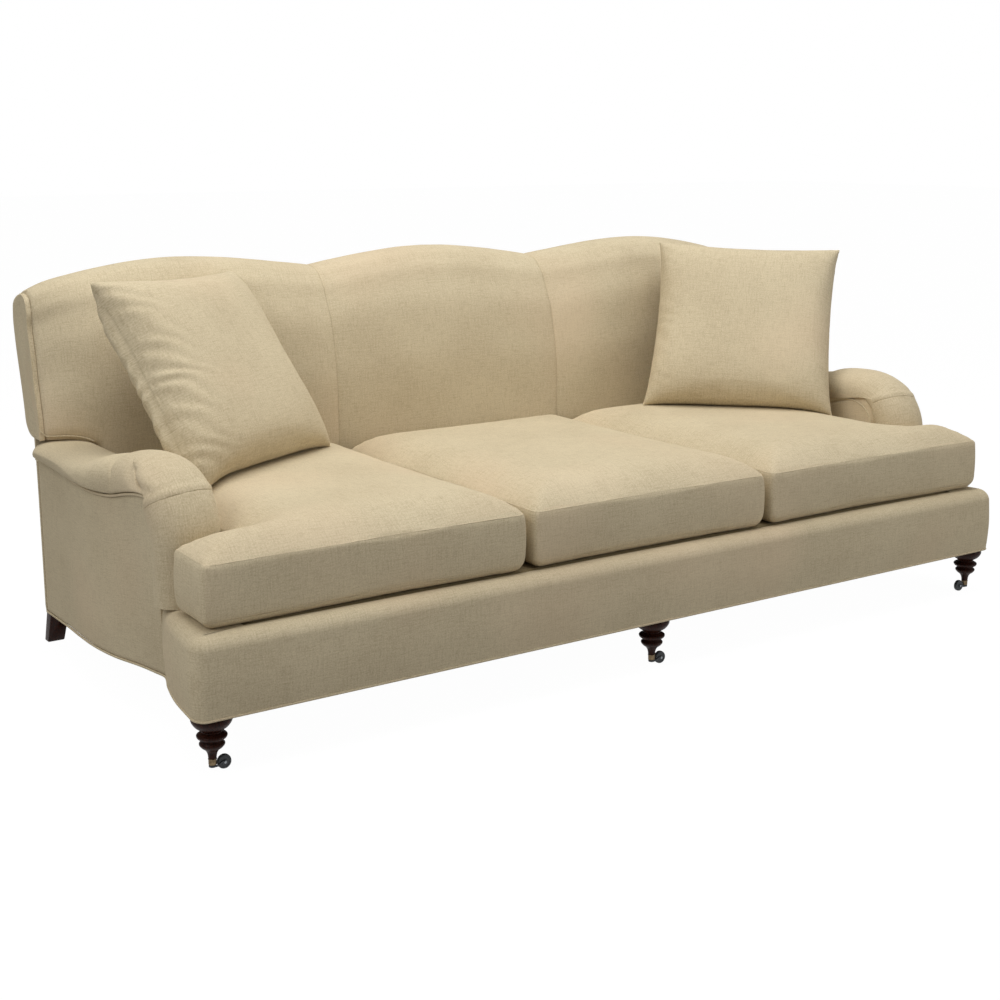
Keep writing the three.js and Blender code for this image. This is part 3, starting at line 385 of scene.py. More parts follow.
# %% [markdown]
# ## Linen
# The cover is a plain-woven linen in a warm straw colour. Its yarns are uneven: thick stretches, called slubs, show
# as short light and dark dashes along both directions of the weave. A photograph of cloth could give this pattern,
# but it would repeat. Two noises do it here, each stretched along one direction of the UV map, and a slow noise
# adds the faint warm and cool patches of natural dye.

# %% Linen finish
def make_linen(name, light, dark, warm):
    cloth = Finish(name)
    weave = cloth.node("ShaderNodeUVMap", {"uv_map": WEAVE_MAP}, {}, "UV")
    sway = cloth.noise(weave, 40.0, 1.0) * 0.006
    bent = cloth.node("ShaderNodeVectorMath", {"operation": "ADD"}, {"Vector": weave, "Vector_001": sway}, "Vector")
    warp = cloth.noise(cloth.stretched(bent, (300, 26, 1)), 1.0, 3.0, 0.7)
    weft = cloth.noise(cloth.stretched(bent, (26, 300, 1)), 1.0, 3.0, 0.7)
    fine = cloth.noise(weave, 330.0, 3.0, 0.8)
    patches = cloth.noise(weave, 5.0, 3.0)
    tint = cloth.noise(weave, 2.3, 1.0)
    slub = (warp + weft) * 0.5
    thick = cloth.node("ShaderNodeMapRange", {"interpolation_type": "SMOOTHSTEP"}, {
        "Value": warp.maths("MAXIMUM", warp, weft), "From Min": 0.57, "From Max": 0.70, "To Min": 0.0, "To Max": 1.0},
        "Result")
    value = (slub - 0.5) * 3.0 + (fine - 0.5) * 2.4 + (patches - 0.5) * 0.7 - thick * 0.5 + 0.58
    ground = cloth.mix(dark, light, value)
    colour = cloth.mix(ground, warm, cloth.node("ShaderNodeMapRange", {}, {
        "Value": tint, "From Min": 0.5, "From Max": 0.75, "To Min": 0.0, "To Max": 0.35}, "Result"))
    rough = slub * 0.12 + 0.84
    height = slub * 0.7 + fine * 0.3
    return cloth.surface(
        Base_Color=colour, Roughness=rough, Normal=cloth.bump(height, 0.35, 0.0006),
        Sheen_Weight=0.18, Sheen_Roughness=0.45, Sheen_Tint=tone(236, 224, 196), Specular_IOR_Level=0.18)


linen = make_linen("linen", tone(213, 199, 168), tone(180, 164, 134), tone(220, 195, 164))
platform_cloth = make_linen("platform_cloth", tone(160, 144, 110), tone(132, 117, 86), tone(150, 132, 100))
print("linen nodes:", len(linen.node_tree.nodes))

# %% [markdown]
# ## Wood, metal and rubber
# The legs are walnut, stained nearly black and lacquered: dark grain with a reddish cast under a clear coat.
# Frame timber is bare and pale. Ferrules are aged brass, casters dark iron, springs drawn steel, tyres hard rubber.
# None of them has a UV map, so their patterns read the object's own coordinates, in metres.

# %% Finishes of the hard parts
def make_wood(name, light, dark, coat, roughness):
    wood = Finish(name)
    place = wood.node("ShaderNodeTexCoord", {}, {}, "Object")
    grain = wood.noise(wood.stretched(place, (60, 60, 9)), 6.0, 5.0, 0.6)
    pores = wood.noise(wood.stretched(place, (900, 900, 60)), 1.0, 2.0)
    colour = wood.mix(dark, light, (grain - 0.35) * 2.2 + (pores - 0.5) * 0.5)
    return wood.surface(
        Base_Color=colour, Roughness=grain * 0.15 + roughness, Normal=wood.bump(pores, 0.15, 0.0003),
        Coat_Weight=coat, Coat_Roughness=0.18, Specular_IOR_Level=0.10)


def make_metal(name, light, dark, roughness, metallic=1.0):
    metal = Finish(name)
    place = metal.node("ShaderNodeTexCoord", {}, {}, "Object")
    stains = metal.noise(place, 160.0, 4.0, 0.6)
    scratches = metal.noise(metal.stretched(place, (2500, 300, 300)), 1.0, 2.0)
    colour = metal.mix(dark, light, (stains - 0.3) * 1.8)
    return metal.surface(
        Base_Color=colour, Metallic=metallic, Roughness=stains * 0.25 + scratches * 0.1 + roughness,
        Normal=metal.bump(scratches, 0.08, 0.0002))


walnut = make_wood("walnut", tone(72, 34, 22), tone(20, 10, 7), 0.03, 0.38)
frame_hardwood = make_wood("frame_hardwood", tone(206, 168, 116), tone(170, 128, 80), 0.0, 0.55)
aged_brass = make_metal("aged_brass", tone(150, 132, 104), tone(84, 70, 52), 0.25)
caster_iron = make_metal("caster_iron", tone(92, 94, 96), tone(44, 45, 47), 0.3)
spring_steel = make_metal("spring_steel", tone(176, 180, 184), tone(110, 114, 118), 0.25)
wheel_rubber = make_metal("wheel_rubber", tone(72, 75, 78), tone(44, 46, 48), 0.4, 0.0)


# %% [markdown]
# ## Cambric
# The underside of a sofa is closed with a thin black cloth that keeps dust in. It is a plain weave, so two crossed
# waves over its UV map give its threads, and a slow noise its uneven dye.

# %% Cambric finish
def make_cambric():
    cloth = Finish("black_cambric")
    weave = cloth.node("ShaderNodeUVMap", {"uv_map": WEAVE_MAP}, {}, "UV")
    threads = cloth.noise(cloth.stretched(weave, (900, 60, 1)), 1.0) + cloth.noise(
        cloth.stretched(weave, (60, 900, 1)), 1.0)
    dye = cloth.noise(weave, 14.0, 3.0)
    colour = cloth.mix(tone(22, 21, 20), tone(48, 46, 44), threads * 0.4 + dye * 0.4 - 0.1)
    return cloth.surface(Base_Color=colour, Roughness=0.95, Normal=cloth.bump(threads, 0.3, 0.0004))


black_cambric = make_cambric()

# %% [markdown]
# ## Putting a piece into the sofa
# Each piece needs the same few words: its material, the body that it moves with, the slot of the finish, and the plain
# solids that it stands for. One function says them all, so that none is forgotten.

# %% Registering a piece
FINISHES = {
    "linen": linen, "platform_cloth": platform_cloth, "black_cambric": black_cambric, "walnut": walnut,
    "frame_hardwood": frame_hardwood, "spring_steel": spring_steel, "aged_brass": aged_brass,
    "caster_iron": caster_iron, "wheel_rubber": wheel_rubber,
}
weave_count = 0


def dress(piece, slot, body="sofa_frame", nodes=()):
    """Gives a finished piece its material and its place among the sofa's bodies."""
    global weave_count
    piece.data.materials.clear()
    piece.data.materials.append(FINISHES[slot])
    layer = piece.data.uv_layers.get(WEAVE_MAP)
    if layer:
        weave_count += 1
        places = np.zeros(len(layer.data) * 2, np.float32)
        layer.data.foreach_get("uv", places)
        places += np.tile([weave_count * 1.37, weave_count * 0.91], len(layer.data)).astype(np.float32)
        layer.data.foreach_set("uv", places)
    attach(piece, body)
    if nodes:
        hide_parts(*nodes)
    print(f"{piece.name}: {len(piece.data.polygons)} faces, {closed_edges(piece)} open edges")
    return piece


# %% [markdown]
# ## Geometry Nodes for welts
# A welt is a thin cord wrapped in a strip of the cover and sewn into a seam. It follows an edge, so it is one cross
# section swept along a path. Geometry Nodes suit that: the path is a chain of edges, Mesh to Curve turns it into a
# curve, and Curve to Mesh sweeps a small circle along it. The tree has its sizes as named inputs, and every welt on
# the sofa uses the same one.

# %% The welt tree
def group_inputs(tree, **sizes):
    tree.interface.new_socket("Geometry", in_out="OUTPUT", socket_type="NodeSocketGeometry")
    tree.interface.new_socket("Geometry", in_out="INPUT", socket_type="NodeSocketGeometry")
    for label, (kind, value) in sizes.items():
        socket = tree.interface.new_socket(label, in_out="INPUT", socket_type=kind)
        if value is not None:
            socket.default_value = value


def tree_node(tree, kind, settings=None, **values):
    node = tree.nodes.new(kind)
    for key, value in (settings or {}).items():
        setattr(node, key, value)
    for key, value in values.items():
        socket = find_socket(node.inputs, key)
        if isinstance(value, bpy.types.NodeSocket):
            tree.links.new(value, socket)
        else:
            socket.default_value = value
    return node


def make_welt_tree():
    tree = bpy.data.node_groups.new("welt along a path", "GeometryNodeTree")
    group_inputs(tree, Radius=("NodeSocketFloat", 0.0026), Sides=("NodeSocketInt", 10),
                 Spacing=("NodeSocketFloat", 0.006), Material=("NodeSocketMaterial", None))
    start = tree.nodes.new("NodeGroupInput")
    sent = {socket.name: socket for socket in start.outputs}
    curve = tree_node(tree, "GeometryNodeMeshToCurve", Mesh=sent["Geometry"])
    even = tree_node(tree, "GeometryNodeResampleCurve", {"mode": "LENGTH"}, Curve=curve.outputs[0],
                     Length=sent["Spacing"])
    ring = tree_node(tree, "GeometryNodeCurvePrimitiveCircle", Resolution=sent["Sides"], Radius=sent["Radius"])
    tube = tree_node(tree, "GeometryNodeCurveToMesh", {}, Curve=even.outputs[0],
                     **{"Profile Curve": ring.outputs[0], "Fill Caps": True})
    real = tree_node(tree, "GeometryNodeRealizeInstances", Geometry=tube.outputs[0])
    painted = tree_node(tree, "GeometryNodeSetMaterial", Geometry=real.outputs[0], Material=sent["Material"])
    smoothed = tree_node(tree, "GeometryNodeSetShadeSmooth", Geometry=painted.outputs[0])
    end = tree.nodes.new("NodeGroupOutput")
    tree.links.new(smoothed.outputs[0], end.inputs[0])
    return tree


welt_tree = make_welt_tree()


def run_tree(name, points, chains, tree, **sizes):
    """Runs a tree on chains of edges and returns its result as a plain mesh."""
    mesh = bpy.data.meshes.new(name)
    mesh.from_pydata((np.asarray(points) + [0, SHIFT, 0]).tolist(), chains, [])
    piece = bpy.data.objects.new(name, mesh)
    bpy.context.scene.collection.objects.link(piece)
    modifier = piece.modifiers.new("tree", "NODES")
    modifier.node_group = tree
    for item in tree.interface.items_tree:
        if item.in_out == "INPUT" and item.name in sizes:
            modifier[item.identifier] = sizes[item.name]
    bpy.context.view_layer.update()
    result = bpy.data.meshes.new_from_object(piece.evaluated_get(bpy.context.evaluated_depsgraph_get()))
    piece.modifiers.clear()
    piece.data = result
    return piece


def weave_by_box(piece, scale=1.0):
    """UV map in metres, laid from the side that each face looks to."""
    mesh = piece.data
    layer = mesh.uv_layers.get(WEAVE_MAP) or mesh.uv_layers.new(name=WEAVE_MAP)
    points = np.zeros(len(mesh.vertices) * 3)
    mesh.vertices.foreach_get("co", points)
    normals = np.zeros(len(mesh.polygons) * 3)
    mesh.polygons.foreach_get("normal", normals)
    totals = np.zeros(len(mesh.polygons), int)
    mesh.polygons.foreach_get("loop_total", totals)
    corners = np.zeros(len(mesh.loops), int)
    mesh.loops.foreach_get("vertex_index", corners)
    main = np.repeat(np.abs(normals.reshape(-1, 3)).argmax(1), totals)
    places = points.reshape(-1, 3)[corners] * scale
    u = np.where(main == 0, places[:, 1], places[:, 0])
    v = np.where(main == 2, places[:, 1], places[:, 2])
    layer.data.foreach_set("uv", np.stack([u, v], 1).astype(np.float32).ravel())


def welt(name, path, body="sofa_frame", slot="linen", radius=0.0026, spacing=0.006):
    """A welt along one path, or several joined into one piece."""
    paths = path if isinstance(path, list) else [path]
    points, chains, count = np.concatenate(paths), [], 0
    for line in paths:
        chains += [(count + i, count + i + 1) for i in range(len(line) - 1)]
        count += len(line)
    piece = run_tree(name, points, chains, welt_tree, Radius=radius, Spacing=spacing, Material=FINISHES[slot])
    weave_by_box(piece)
    tidy(piece, 60)
    return dress(piece, slot, body)


# %% [markdown]
# ## Front border
# The border is the padded band across the front of the base. It turns both front corners and runs back along the
# sides to the arms. Its top edge is softly rounded, its face swells a little, and its lower edge carries a welt.
# A rule gives its whole shape: one cross section at every station of its plan, so it is a grid of such sections.

# %% Plan of the base
CORNER_START = 0.027 * DEPTH
CORNER_RADIUS = 0.022


def border_plan():
    side = [(-float(side_x(y)), y) for y in spread(RETURN, CORNER_START, 44)[:-1]]
    corner_x = -float(side_x(CORNER_START))
    for angle in np.linspace(0, math.pi / 2, 13):
        side.append((corner_x + CORNER_RADIUS * (1 - math.cos(angle)), CORNER_START * (1 - math.sin(angle))))
    front = [(x, 0.0) for x in np.linspace(side[-1][0], 0, 90)[1:]]
    left = np.array(side + front)
    right = left[:-1][::-1] * [-1, 1]
    return np.concatenate([left, right])


plan = border_plan()
heading = np.gradient(plan, axis=0)
heading /= np.linalg.norm(heading, axis=1)[:, None]
outward = np.stack([heading[:, 1], -heading[:, 0]], 1)
outward[0], outward[-1] = (-1, 0), (1, 0)
if outward[len(plan) // 2, 1] > 0:
    outward = -outward
    outward[0], outward[-1] = (-1, 0), (1, 0)
print("plan of the border:", len(plan), "stations")

# %% Border as one grid of cross sections
BORDER_BULGE, BORDER_ROUND, BORDER_WALL = 0.006, 0.028, 0.022
LIP_DEPTH, DECK_HALF, RAIL_TOP = 0.040, 1.029, 0.262
bulge = through([(0, 0), (0.2, 0.6), (0.45, 1), (0.7, 0.8), (1, 0.4)], 1, BORDER_BULGE)


def border_section():
    """Outset and height of the outer face, from its lower edge to the end of its rounded top."""
    straight_top = DECK_TOP - BORDER_ROUND
    rows = [(float(bulge((z - BASE) / (DECK_TOP - BASE))), z) for z in np.linspace(BASE, straight_top, 15)]
    first = rows[-1][0]
    for angle in np.linspace(0, math.pi / 2, 13)[1:]:
        inset = BORDER_ROUND * (1 - math.cos(angle))
        rows.append((first * (1 - angle / (math.pi / 2)) - inset, straight_top + BORDER_ROUND * math.sin(angle)))
    return rows


def make_border():
    inner = np.stack([np.clip(plan[:, 0] * DECK_HALF / HALF_WIDTH * 1.03, -DECK_HALF, DECK_HALF),
                      np.maximum(plan[:, 1], LIP_DEPTH)], 1)
    side = np.abs(plan[:, 0]) > HALF_WIDTH - CORNER_RADIUS - 0.002
    inner[side, 0] = np.sign(plan[side, 0]) * DECK_HALF
    end_gap = RETURN - plan[:, 1]
    end_round = rounded(end_gap, 0.004)
    columns = []
    ring = None
    for outset, z in border_section():
        ring = plan + outward * (outset - end_round)[:, None]
        columns.append(np.column_stack([ring, np.full(len(plan), z)]))
    for share in (0.12, 0.3, 0.55, 0.8, 1.0):
        flat = ring + (inner - ring) * share
        columns.append(np.column_stack([flat, np.full(len(plan), DECK_TOP)]))
    columns.append(np.column_stack([inner, np.full(len(plan), RAIL_TOP + GAP)]))
    back = plan - outward * BORDER_WALL
    columns.append(np.column_stack([back, np.full(len(plan), RAIL_TOP + GAP)]))
    columns.append(np.column_stack([back, np.full(len(plan), BASE)]))
    columns.append(columns[0])
    grid = np.stack(columns, 1)
    skin = Skin()
    skin.grid(grid)
    for end in (0, -1):
        middle = np.repeat(grid[end].mean(0)[None], grid.shape[1], 0)
        skin.grid(np.stack([grid[end], middle]))
    return skin.build("front_border_cover")


border = dress(make_border(), "linen", nodes=["front_border"])

# %% [markdown]
# ## Outer arm panels
# A thin padded panel closes the outside of each arm, from the border's return to the rear of the back. It leans out
# at its front top. Its edges are turned under, so they draw in over a few millimetres, and a welt shows beneath the
# arm's roll and along the lower edge.

# %% Outer arm panel
PANEL_WALL, BACK_WALL = 0.020, 0.012


def panel_rear(z):
    return rear_y(z) - BACK_WALL - 0.002


def make_outer_arm():
    across, up = spread(0, 1, 72, 0.25), spread(0, 1, 44, 0.35)
    s, t = np.meshgrid(across, up, indexing="ij")
    foot = CORE_FRONT + (panel_rear(BASE - REAR_DROP) - CORE_FRONT) * s
    z = underside(foot) + (arm_seat(foot) - underside(foot)) * t
    y = CORE_FRONT + (panel_rear(z) - CORE_FRONT) * s
    top = arm_seat(y)
    z = underside(foot) + (top - underside(foot)) * t
    inset = rounded(y - CORE_FRONT, 0.004) + rounded(panel_rear(z) - y, 0.003)
    inset = inset + rounded(top - z, 0.007) + rounded(z - underside(foot), 0.005)
    swell = 0.003 * np.sin(math.pi * s) * np.sin(math.pi * t)
    face = arm_outer(y, z)
    outer = np.stack([-(face - inset + swell), y, z], -1)
    inner = np.stack([-(face - PANEL_WALL), y, z], -1)
    skin = Skin()
    skin.shell(outer, inner)
    return skin.build("outer_arm_left")


outer_arm = dress(make_outer_arm(), "linen", nodes=["outside_arm_left"])
dress(mirrored(outer_arm, "outer_arm_right"), "linen", nodes=["outside_arm_right"])

# %% [markdown]
# ## Inner arm panels
# The inside of an arm is a flat padded panel from the deck up to the roll. The seat cushions hide most of it.

# %% Inner arm panel
CORE_REAR, INNER_WALL = 0.945, 0.015


def make_inner_arm():
    s, t = np.meshgrid(spread(0, 1, 60, 0.2), spread(0, 1, 20, 0.3), indexing="ij")
    y = CORE_FRONT + (CORE_REAR - CORE_FRONT) * s
    z = DECK_TOP + GAP + (arm_seat(y) - DECK_TOP - GAP) * t
    inset = rounded(y - CORE_FRONT, 0.005) + rounded(arm_seat(y) - z, 0.006)
    outer = np.stack([-(ARM_INSIDE + inset), y, z], -1)
    inner = np.stack([np.full_like(y, -ARM_INSIDE - INNER_WALL), y, z], -1)
    skin = Skin()
    skin.shell(outer, inner)
    return skin.build("inner_arm_left")


inner_arm = dress(make_inner_arm(), "linen", nodes=["inside_arm_left"])
dress(mirrored(inner_arm, "inner_arm_right"), "linen", nodes=["inside_arm_right"])

# %% [markdown]
# ## Rolled arms
# Each arm is a soft roll that runs forwards from the back, thickens into a full cap and bends down into a column.
# The cover is gathered behind the cap, where the fat front meets the thinner roll, and sewn across the column.
# The whole is a tube along a bent path with a thickness that changes, so its points come from the path's table.
# The folds are then pressed into the tube, and the part that would lie in the arm's core is drawn back to its faces.

# %% Path of the arm
ARM_RUN = DEPTH - RETURN
arm_path = np.array([
    (0.838, 0.512, 0.33, 0.10), (0.826, 0.512, 0.40, 0.12), (0.76, 0.5125, 0.43, 0.17), (0.7317, 0.513, 0.44, 0.18),
    (0.525, 0.516, 0.51, 0.317), (0.4042, 0.518, 0.5575, 0.287), (0.3318, 0.524, 0.69, 0.18),
    (0.2352, 0.535, 0.807, 0.06), (0.14, 0.544, 0.84, 0), (0.0554, 0.540, 0.836, 0), (-0.005, 0.515, 0.763, 0),
    (-0.0385, 0.467, 0.704, 0), (-0.0445, 0.39, 0.675, 0), (-0.0445, 0.3034, 0.675, 0)])
path_y = RETURN + arm_path[:, 0] * ARM_RUN
path_z = arm_path[:, 1] * BACK_TOP
travel = np.concatenate([[0], np.cumsum(np.hypot(np.diff(path_y), np.diff(path_z)))])
along_y, along_z, along_thick, along_shift = (
    through(np.column_stack([travel, values]))
    for values in (path_y, path_z, arm_path[:, 2] * ROLL_HALF, arm_path[:, 3] * ROLL_HALF))
along_width = through([(0, 1), (0.40, 1), (0.55, 1), (0.66, 0.985), (0.76, 0.94), (travel[-1], 0.90)], 1, ROLL_HALF)
print("length of an arm's roll:", round(float(travel[-1]), 3), "m")


# %% The tube, its folds and its seam
def near_line(y, z, line):
    """Distance of each point to a bent line in the side view, and on which side of it the point lies."""
    best, side = np.full(y.shape, 9.0), np.zeros(y.shape)
    line = np.array(line)
    for (y0, z0), (y1, z1) in zip(line[:-1], line[1:]):
        run = np.array([y1 - y0, z1 - z0])
        share = np.clip(((y - y0) * run[0] + (z - z0) * run[1]) / (run @ run), 0, 1)
        dy, dz = y - y0 - share * run[0], z - z0 - share * run[1]
        distance = np.hypot(dy, dz)
        closer = distance < best
        best = np.where(closer, distance, best)
        side = np.where(closer, np.sign(run[0] * dz - run[1] * dy), side)
    return best, side


def out_of_core(points):
    """Moves points from the arm's core to its top or its front, whichever is nearer."""
    y, z = points[..., 1], points[..., 2]
    floor = arm_seat(y) + GAP
    front = CORE_FRONT - GAP
    inside = (z < floor) & (y > front)
    upward = (floor - z) < (y - front)
    points[..., 2] = np.where(inside & upward, floor, z)
    points[..., 1] = np.where(inside & ~upward, front, y)
    return points


def outer_side(x, start, run):
    """From 0 to 1 over the outer side of an arm."""
    return smooth((np.abs(x) - start) / run)


def folds(points):
    """How far the cover stands out (above 0) or is drawn in (below 0) at each point of the tube."""
    x, y, z = points[..., 0], points[..., 1], points[..., 2]
    gather, side = near_line(y, z, GATHER)
    ahead = -gather * side
    depth = outer_side(x, 1.085, 0.035) * smooth((z - arm_seat(y) - 0.004) / 0.02)
    sharp = smooth((0.549 - z) / 0.016)
    height = -0.0100 * np.exp(-(gather / 0.0034) ** 2) * sharp - 0.0050 * np.exp(-((ahead + 0.009) / 0.014) ** 2)
    height += 0.0035 * np.exp(-((ahead - 0.018) / 0.014) ** 2)
    soft, _ = near_line(y, z, SOFT_FOLD)
    height -= 0.0028 * np.exp(-(soft / 0.005) ** 2)
    pit, _ = near_line(y, z, PIT)
    shallow = np.exp(-(pit / 0.026) ** 2) * smooth((z - 0.49) / 0.03)
    return height * depth - 0.005 * shallow


def tuck(points):
    """Draws the roll's underside in to the outer panel, so that the welt shows below it."""
    x, y, z = points[..., 0], points[..., 1], points[..., 2]
    rise = np.clip((z - arm_seat(y)) / 0.034, 0, 1)
    limit = -arm_outer(y, arm_seat(y)) + 0.0050 - 0.036 * np.sqrt(1 - (1 - rise) ** 2)
    share = smooth((y - CORE_FRONT) / 0.03)
    points[..., 0] = np.where((x < limit) & (rise < 1), x + (limit - x) * share, x)
    return points


def make_arm_roll():
    stations = np.unique(np.concatenate([
        travel[1] * np.linspace(0, 1, 14) ** 1.6, np.linspace(travel[1], 0.45, 90), np.linspace(0.45, 0.75, 190),
        np.linspace(0.75, travel[-1], 60)]))
    sides = 128
    angle = np.linspace(0, 2 * math.pi, sides + 1)
    y, z = along_y(stations), along_z(stations)
    dy, dz = np.gradient(y, stations), np.gradient(z, stations)
    size = np.hypot(dy, dz)
    dy, dz = dy / size, dz / size
    end_share = np.clip(stations / travel[2], 0, 1)
    width = along_width(stations) * (0.66 + 0.34 * np.sqrt(1 - (1 - end_share) ** 2))
    thick, shift = along_thick(stations), along_shift(stations)
    blunt = 2 / (2 + 0.9 * np.clip(1 - thick / width, 0, 1))[:, None]
    cos, sin = np.cos(angle), np.sin(angle)
    x = -(ROLL_MIDDLE + shift)[:, None] + width[:, None] * np.sign(cos) * np.abs(cos) ** blunt
    lift = thick[:, None] * np.sign(sin) * np.abs(sin) ** blunt
    points = np.stack([x, y[:, None] + lift * dz[:, None], z[:, None] - lift * dy[:, None]], -1)
    centre = np.stack([-(ROLL_MIDDLE + shift), y, z], -1)[:, None]
    outwards = points - centre
    outwards /= np.linalg.norm(outwards, axis=2)[..., None]
    over_seam = (points - CAP_POINT) @ CAP_SEAM
    front = smooth((0.30 - points[..., 1]) / 0.02)
    puff = 0.0025 * np.exp(-((over_seam - 0.010) / 0.009) ** 2) * front
    points = points + outwards * (folds(points) + puff)[..., None]
    points = out_of_core(tuck(points))
    skin = Skin()
    skin.grid(points[:, ::-1])
    for end in (0, -1):
        ring = points[end]
        middle = np.repeat(ring.mean(0)[None], len(ring), 0)
        bow = np.array([0, 0.010, 0]) if end == 0 else np.zeros(3)
        steps = (0, 0.1, 0.3, 0.6, 1)
        skin.grid(np.stack([ring + (middle - ring) * t + bow * math.sqrt(1 - (1 - t) ** 2) for t in steps]))
    return skin.build("rolled_arm_left")


GATHER = [(0.374, 0.5445), (0.355, 0.5366), (0.341, 0.5235), (0.317, 0.5134), (0.284, 0.501)]
SOFT_FOLD = [(0.500, 0.545), (0.478, 0.531), (0.460, 0.513), (0.457, 0.484)]
PIT = [(0.530, 0.560), (0.500, 0.545)]
CAP_POINT = np.array([-1.051, 0.233, 0.5093])
CAP_SEAM = np.array([-0.0948, 0.5506, 1.0]) / math.sqrt(0.0948**2 + 0.5506**2 + 1)
arm_roll = make_arm_roll()


# %% [markdown]
# A plain seam is a thin groove where two pieces of cover meet. The mesh has no edge where the seam runs, so the
# groove is cut: three close parallel planes add edges, and the middle edge is pressed inwards.

# %% A helper that presses a seam along a plane
def press_seam(piece, point, normal, where, depth=0.0022, width=0.0028):
    """Cuts a groove where a plane meets the faces that where(centre) chooses."""
    normal = Vector(normal).normalized()
    point = Vector(point) + Vector((0, SHIFT, 0))
    work = bmesh.new()
    work.from_mesh(piece.data)
    for offset in (-width, 0, width):
        faces = [f for f in work.faces if where(f.calc_center_median() - Vector((0, SHIFT, 0)))]
        edges = {e for f in faces for e in f.edges}
        verts = {v for f in faces for v in f.verts}
        bmesh.ops.bisect_plane(work, geom=faces + list(edges) + list(verts), dist=1e-6,
                               plane_co=point + normal * offset, plane_no=normal)
    work.normal_update()
    moved = 0
    for vert in work.verts:
        if abs((vert.co - point).dot(normal)) < 1e-5 and where(vert.co - Vector((0, SHIFT, 0))):
            inward = vert.normal - normal * vert.normal.dot(normal)
            vert.co -= inward.normalized() * depth
            moved += 1
    work.to_mesh(piece.data)
    work.free()
    piece.data.shade_smooth()
    piece.data.set_sharp_from_angle(angle=math.radians(60))
    return moved


pressed = press_seam(arm_roll, CAP_POINT, CAP_SEAM, lambda c: c.y < CORE_FRONT - 0.002, 0.0010, 0.0022)
print("seam across the arm's front:", pressed, "points")
dress(arm_roll, "linen", nodes=["arm_roll_left", "arm_front_left"])
dress(mirrored(arm_roll, "rolled_arm_right"), "linen", nodes=["arm_roll_right", "arm_front_right"])

# %% [markdown]
# ## Inside of the back
# Three padded sections stand side by side. Their tops follow the camel line, their fronts lean back towards the
# crest, and each seam between them is a soft valley. Over the arms the padding ends in a rounded lip, with the arm's
# roll running in beneath it. Each section is a shell between two grids, and the cells that would lie inside the arm
# are left out of both.

# %% Back section
RAIL_FRONT, RAIL_BACK, RAIL_COVER = 1.051, 1.087, 0.040
WING_UNDER = float(max((path_z + arm_path[:, 2] * ROLL_HALF)[:4])) + 0.0010
END_RUN = 0.200
end_bend = through([
    (0, 0.1), (0.04, 0.3), (0.1, 0.48), (0.24, 0.82), (0.55, 1), (0.8, 0.88), (1, 0.8), (1.8, 0.8)], 0.34, 0.072)
rear_roll = through([(0, 0), (0.3, 0.04), (0.62, 0.16), (0.86, 0.36), (0.98, 0.54)], 1, RAIL_COVER)


def frame_front(z):
    """Front plane of the hardwood behind the padding."""
    share = np.clip((z - 0.120) / (BACK_TOP - 0.141 - 0.120), 0, 1)
    return 0.888 + (RAIL_FRONT - GAP - 0.888) * share


def back_face(x, drop):
    toward_end = np.clip((np.abs(x) - BACK_HALF + END_RUN) / END_RUN, 0, 1) ** 1.8
    above_seat = smooth((crest(x) - drop - 0.425) / 0.07)
    return BACK_FRONT + lean(drop) + end_bend(drop) * toward_end * above_seat


end = BACK_HALF - BACK_WALL - GAP


def lip_height(x):
    """Lower edge of the padding over an arm: it follows the top of the roll that runs in under it."""
    side = np.abs(x) - ROLL_MIDDLE - 0.0137
    fall = 1 - np.sqrt(1 - (np.clip(-side, 0, 0.072) / 0.0768) ** 2)
    return WING_UNDER - 0.0363 * fall


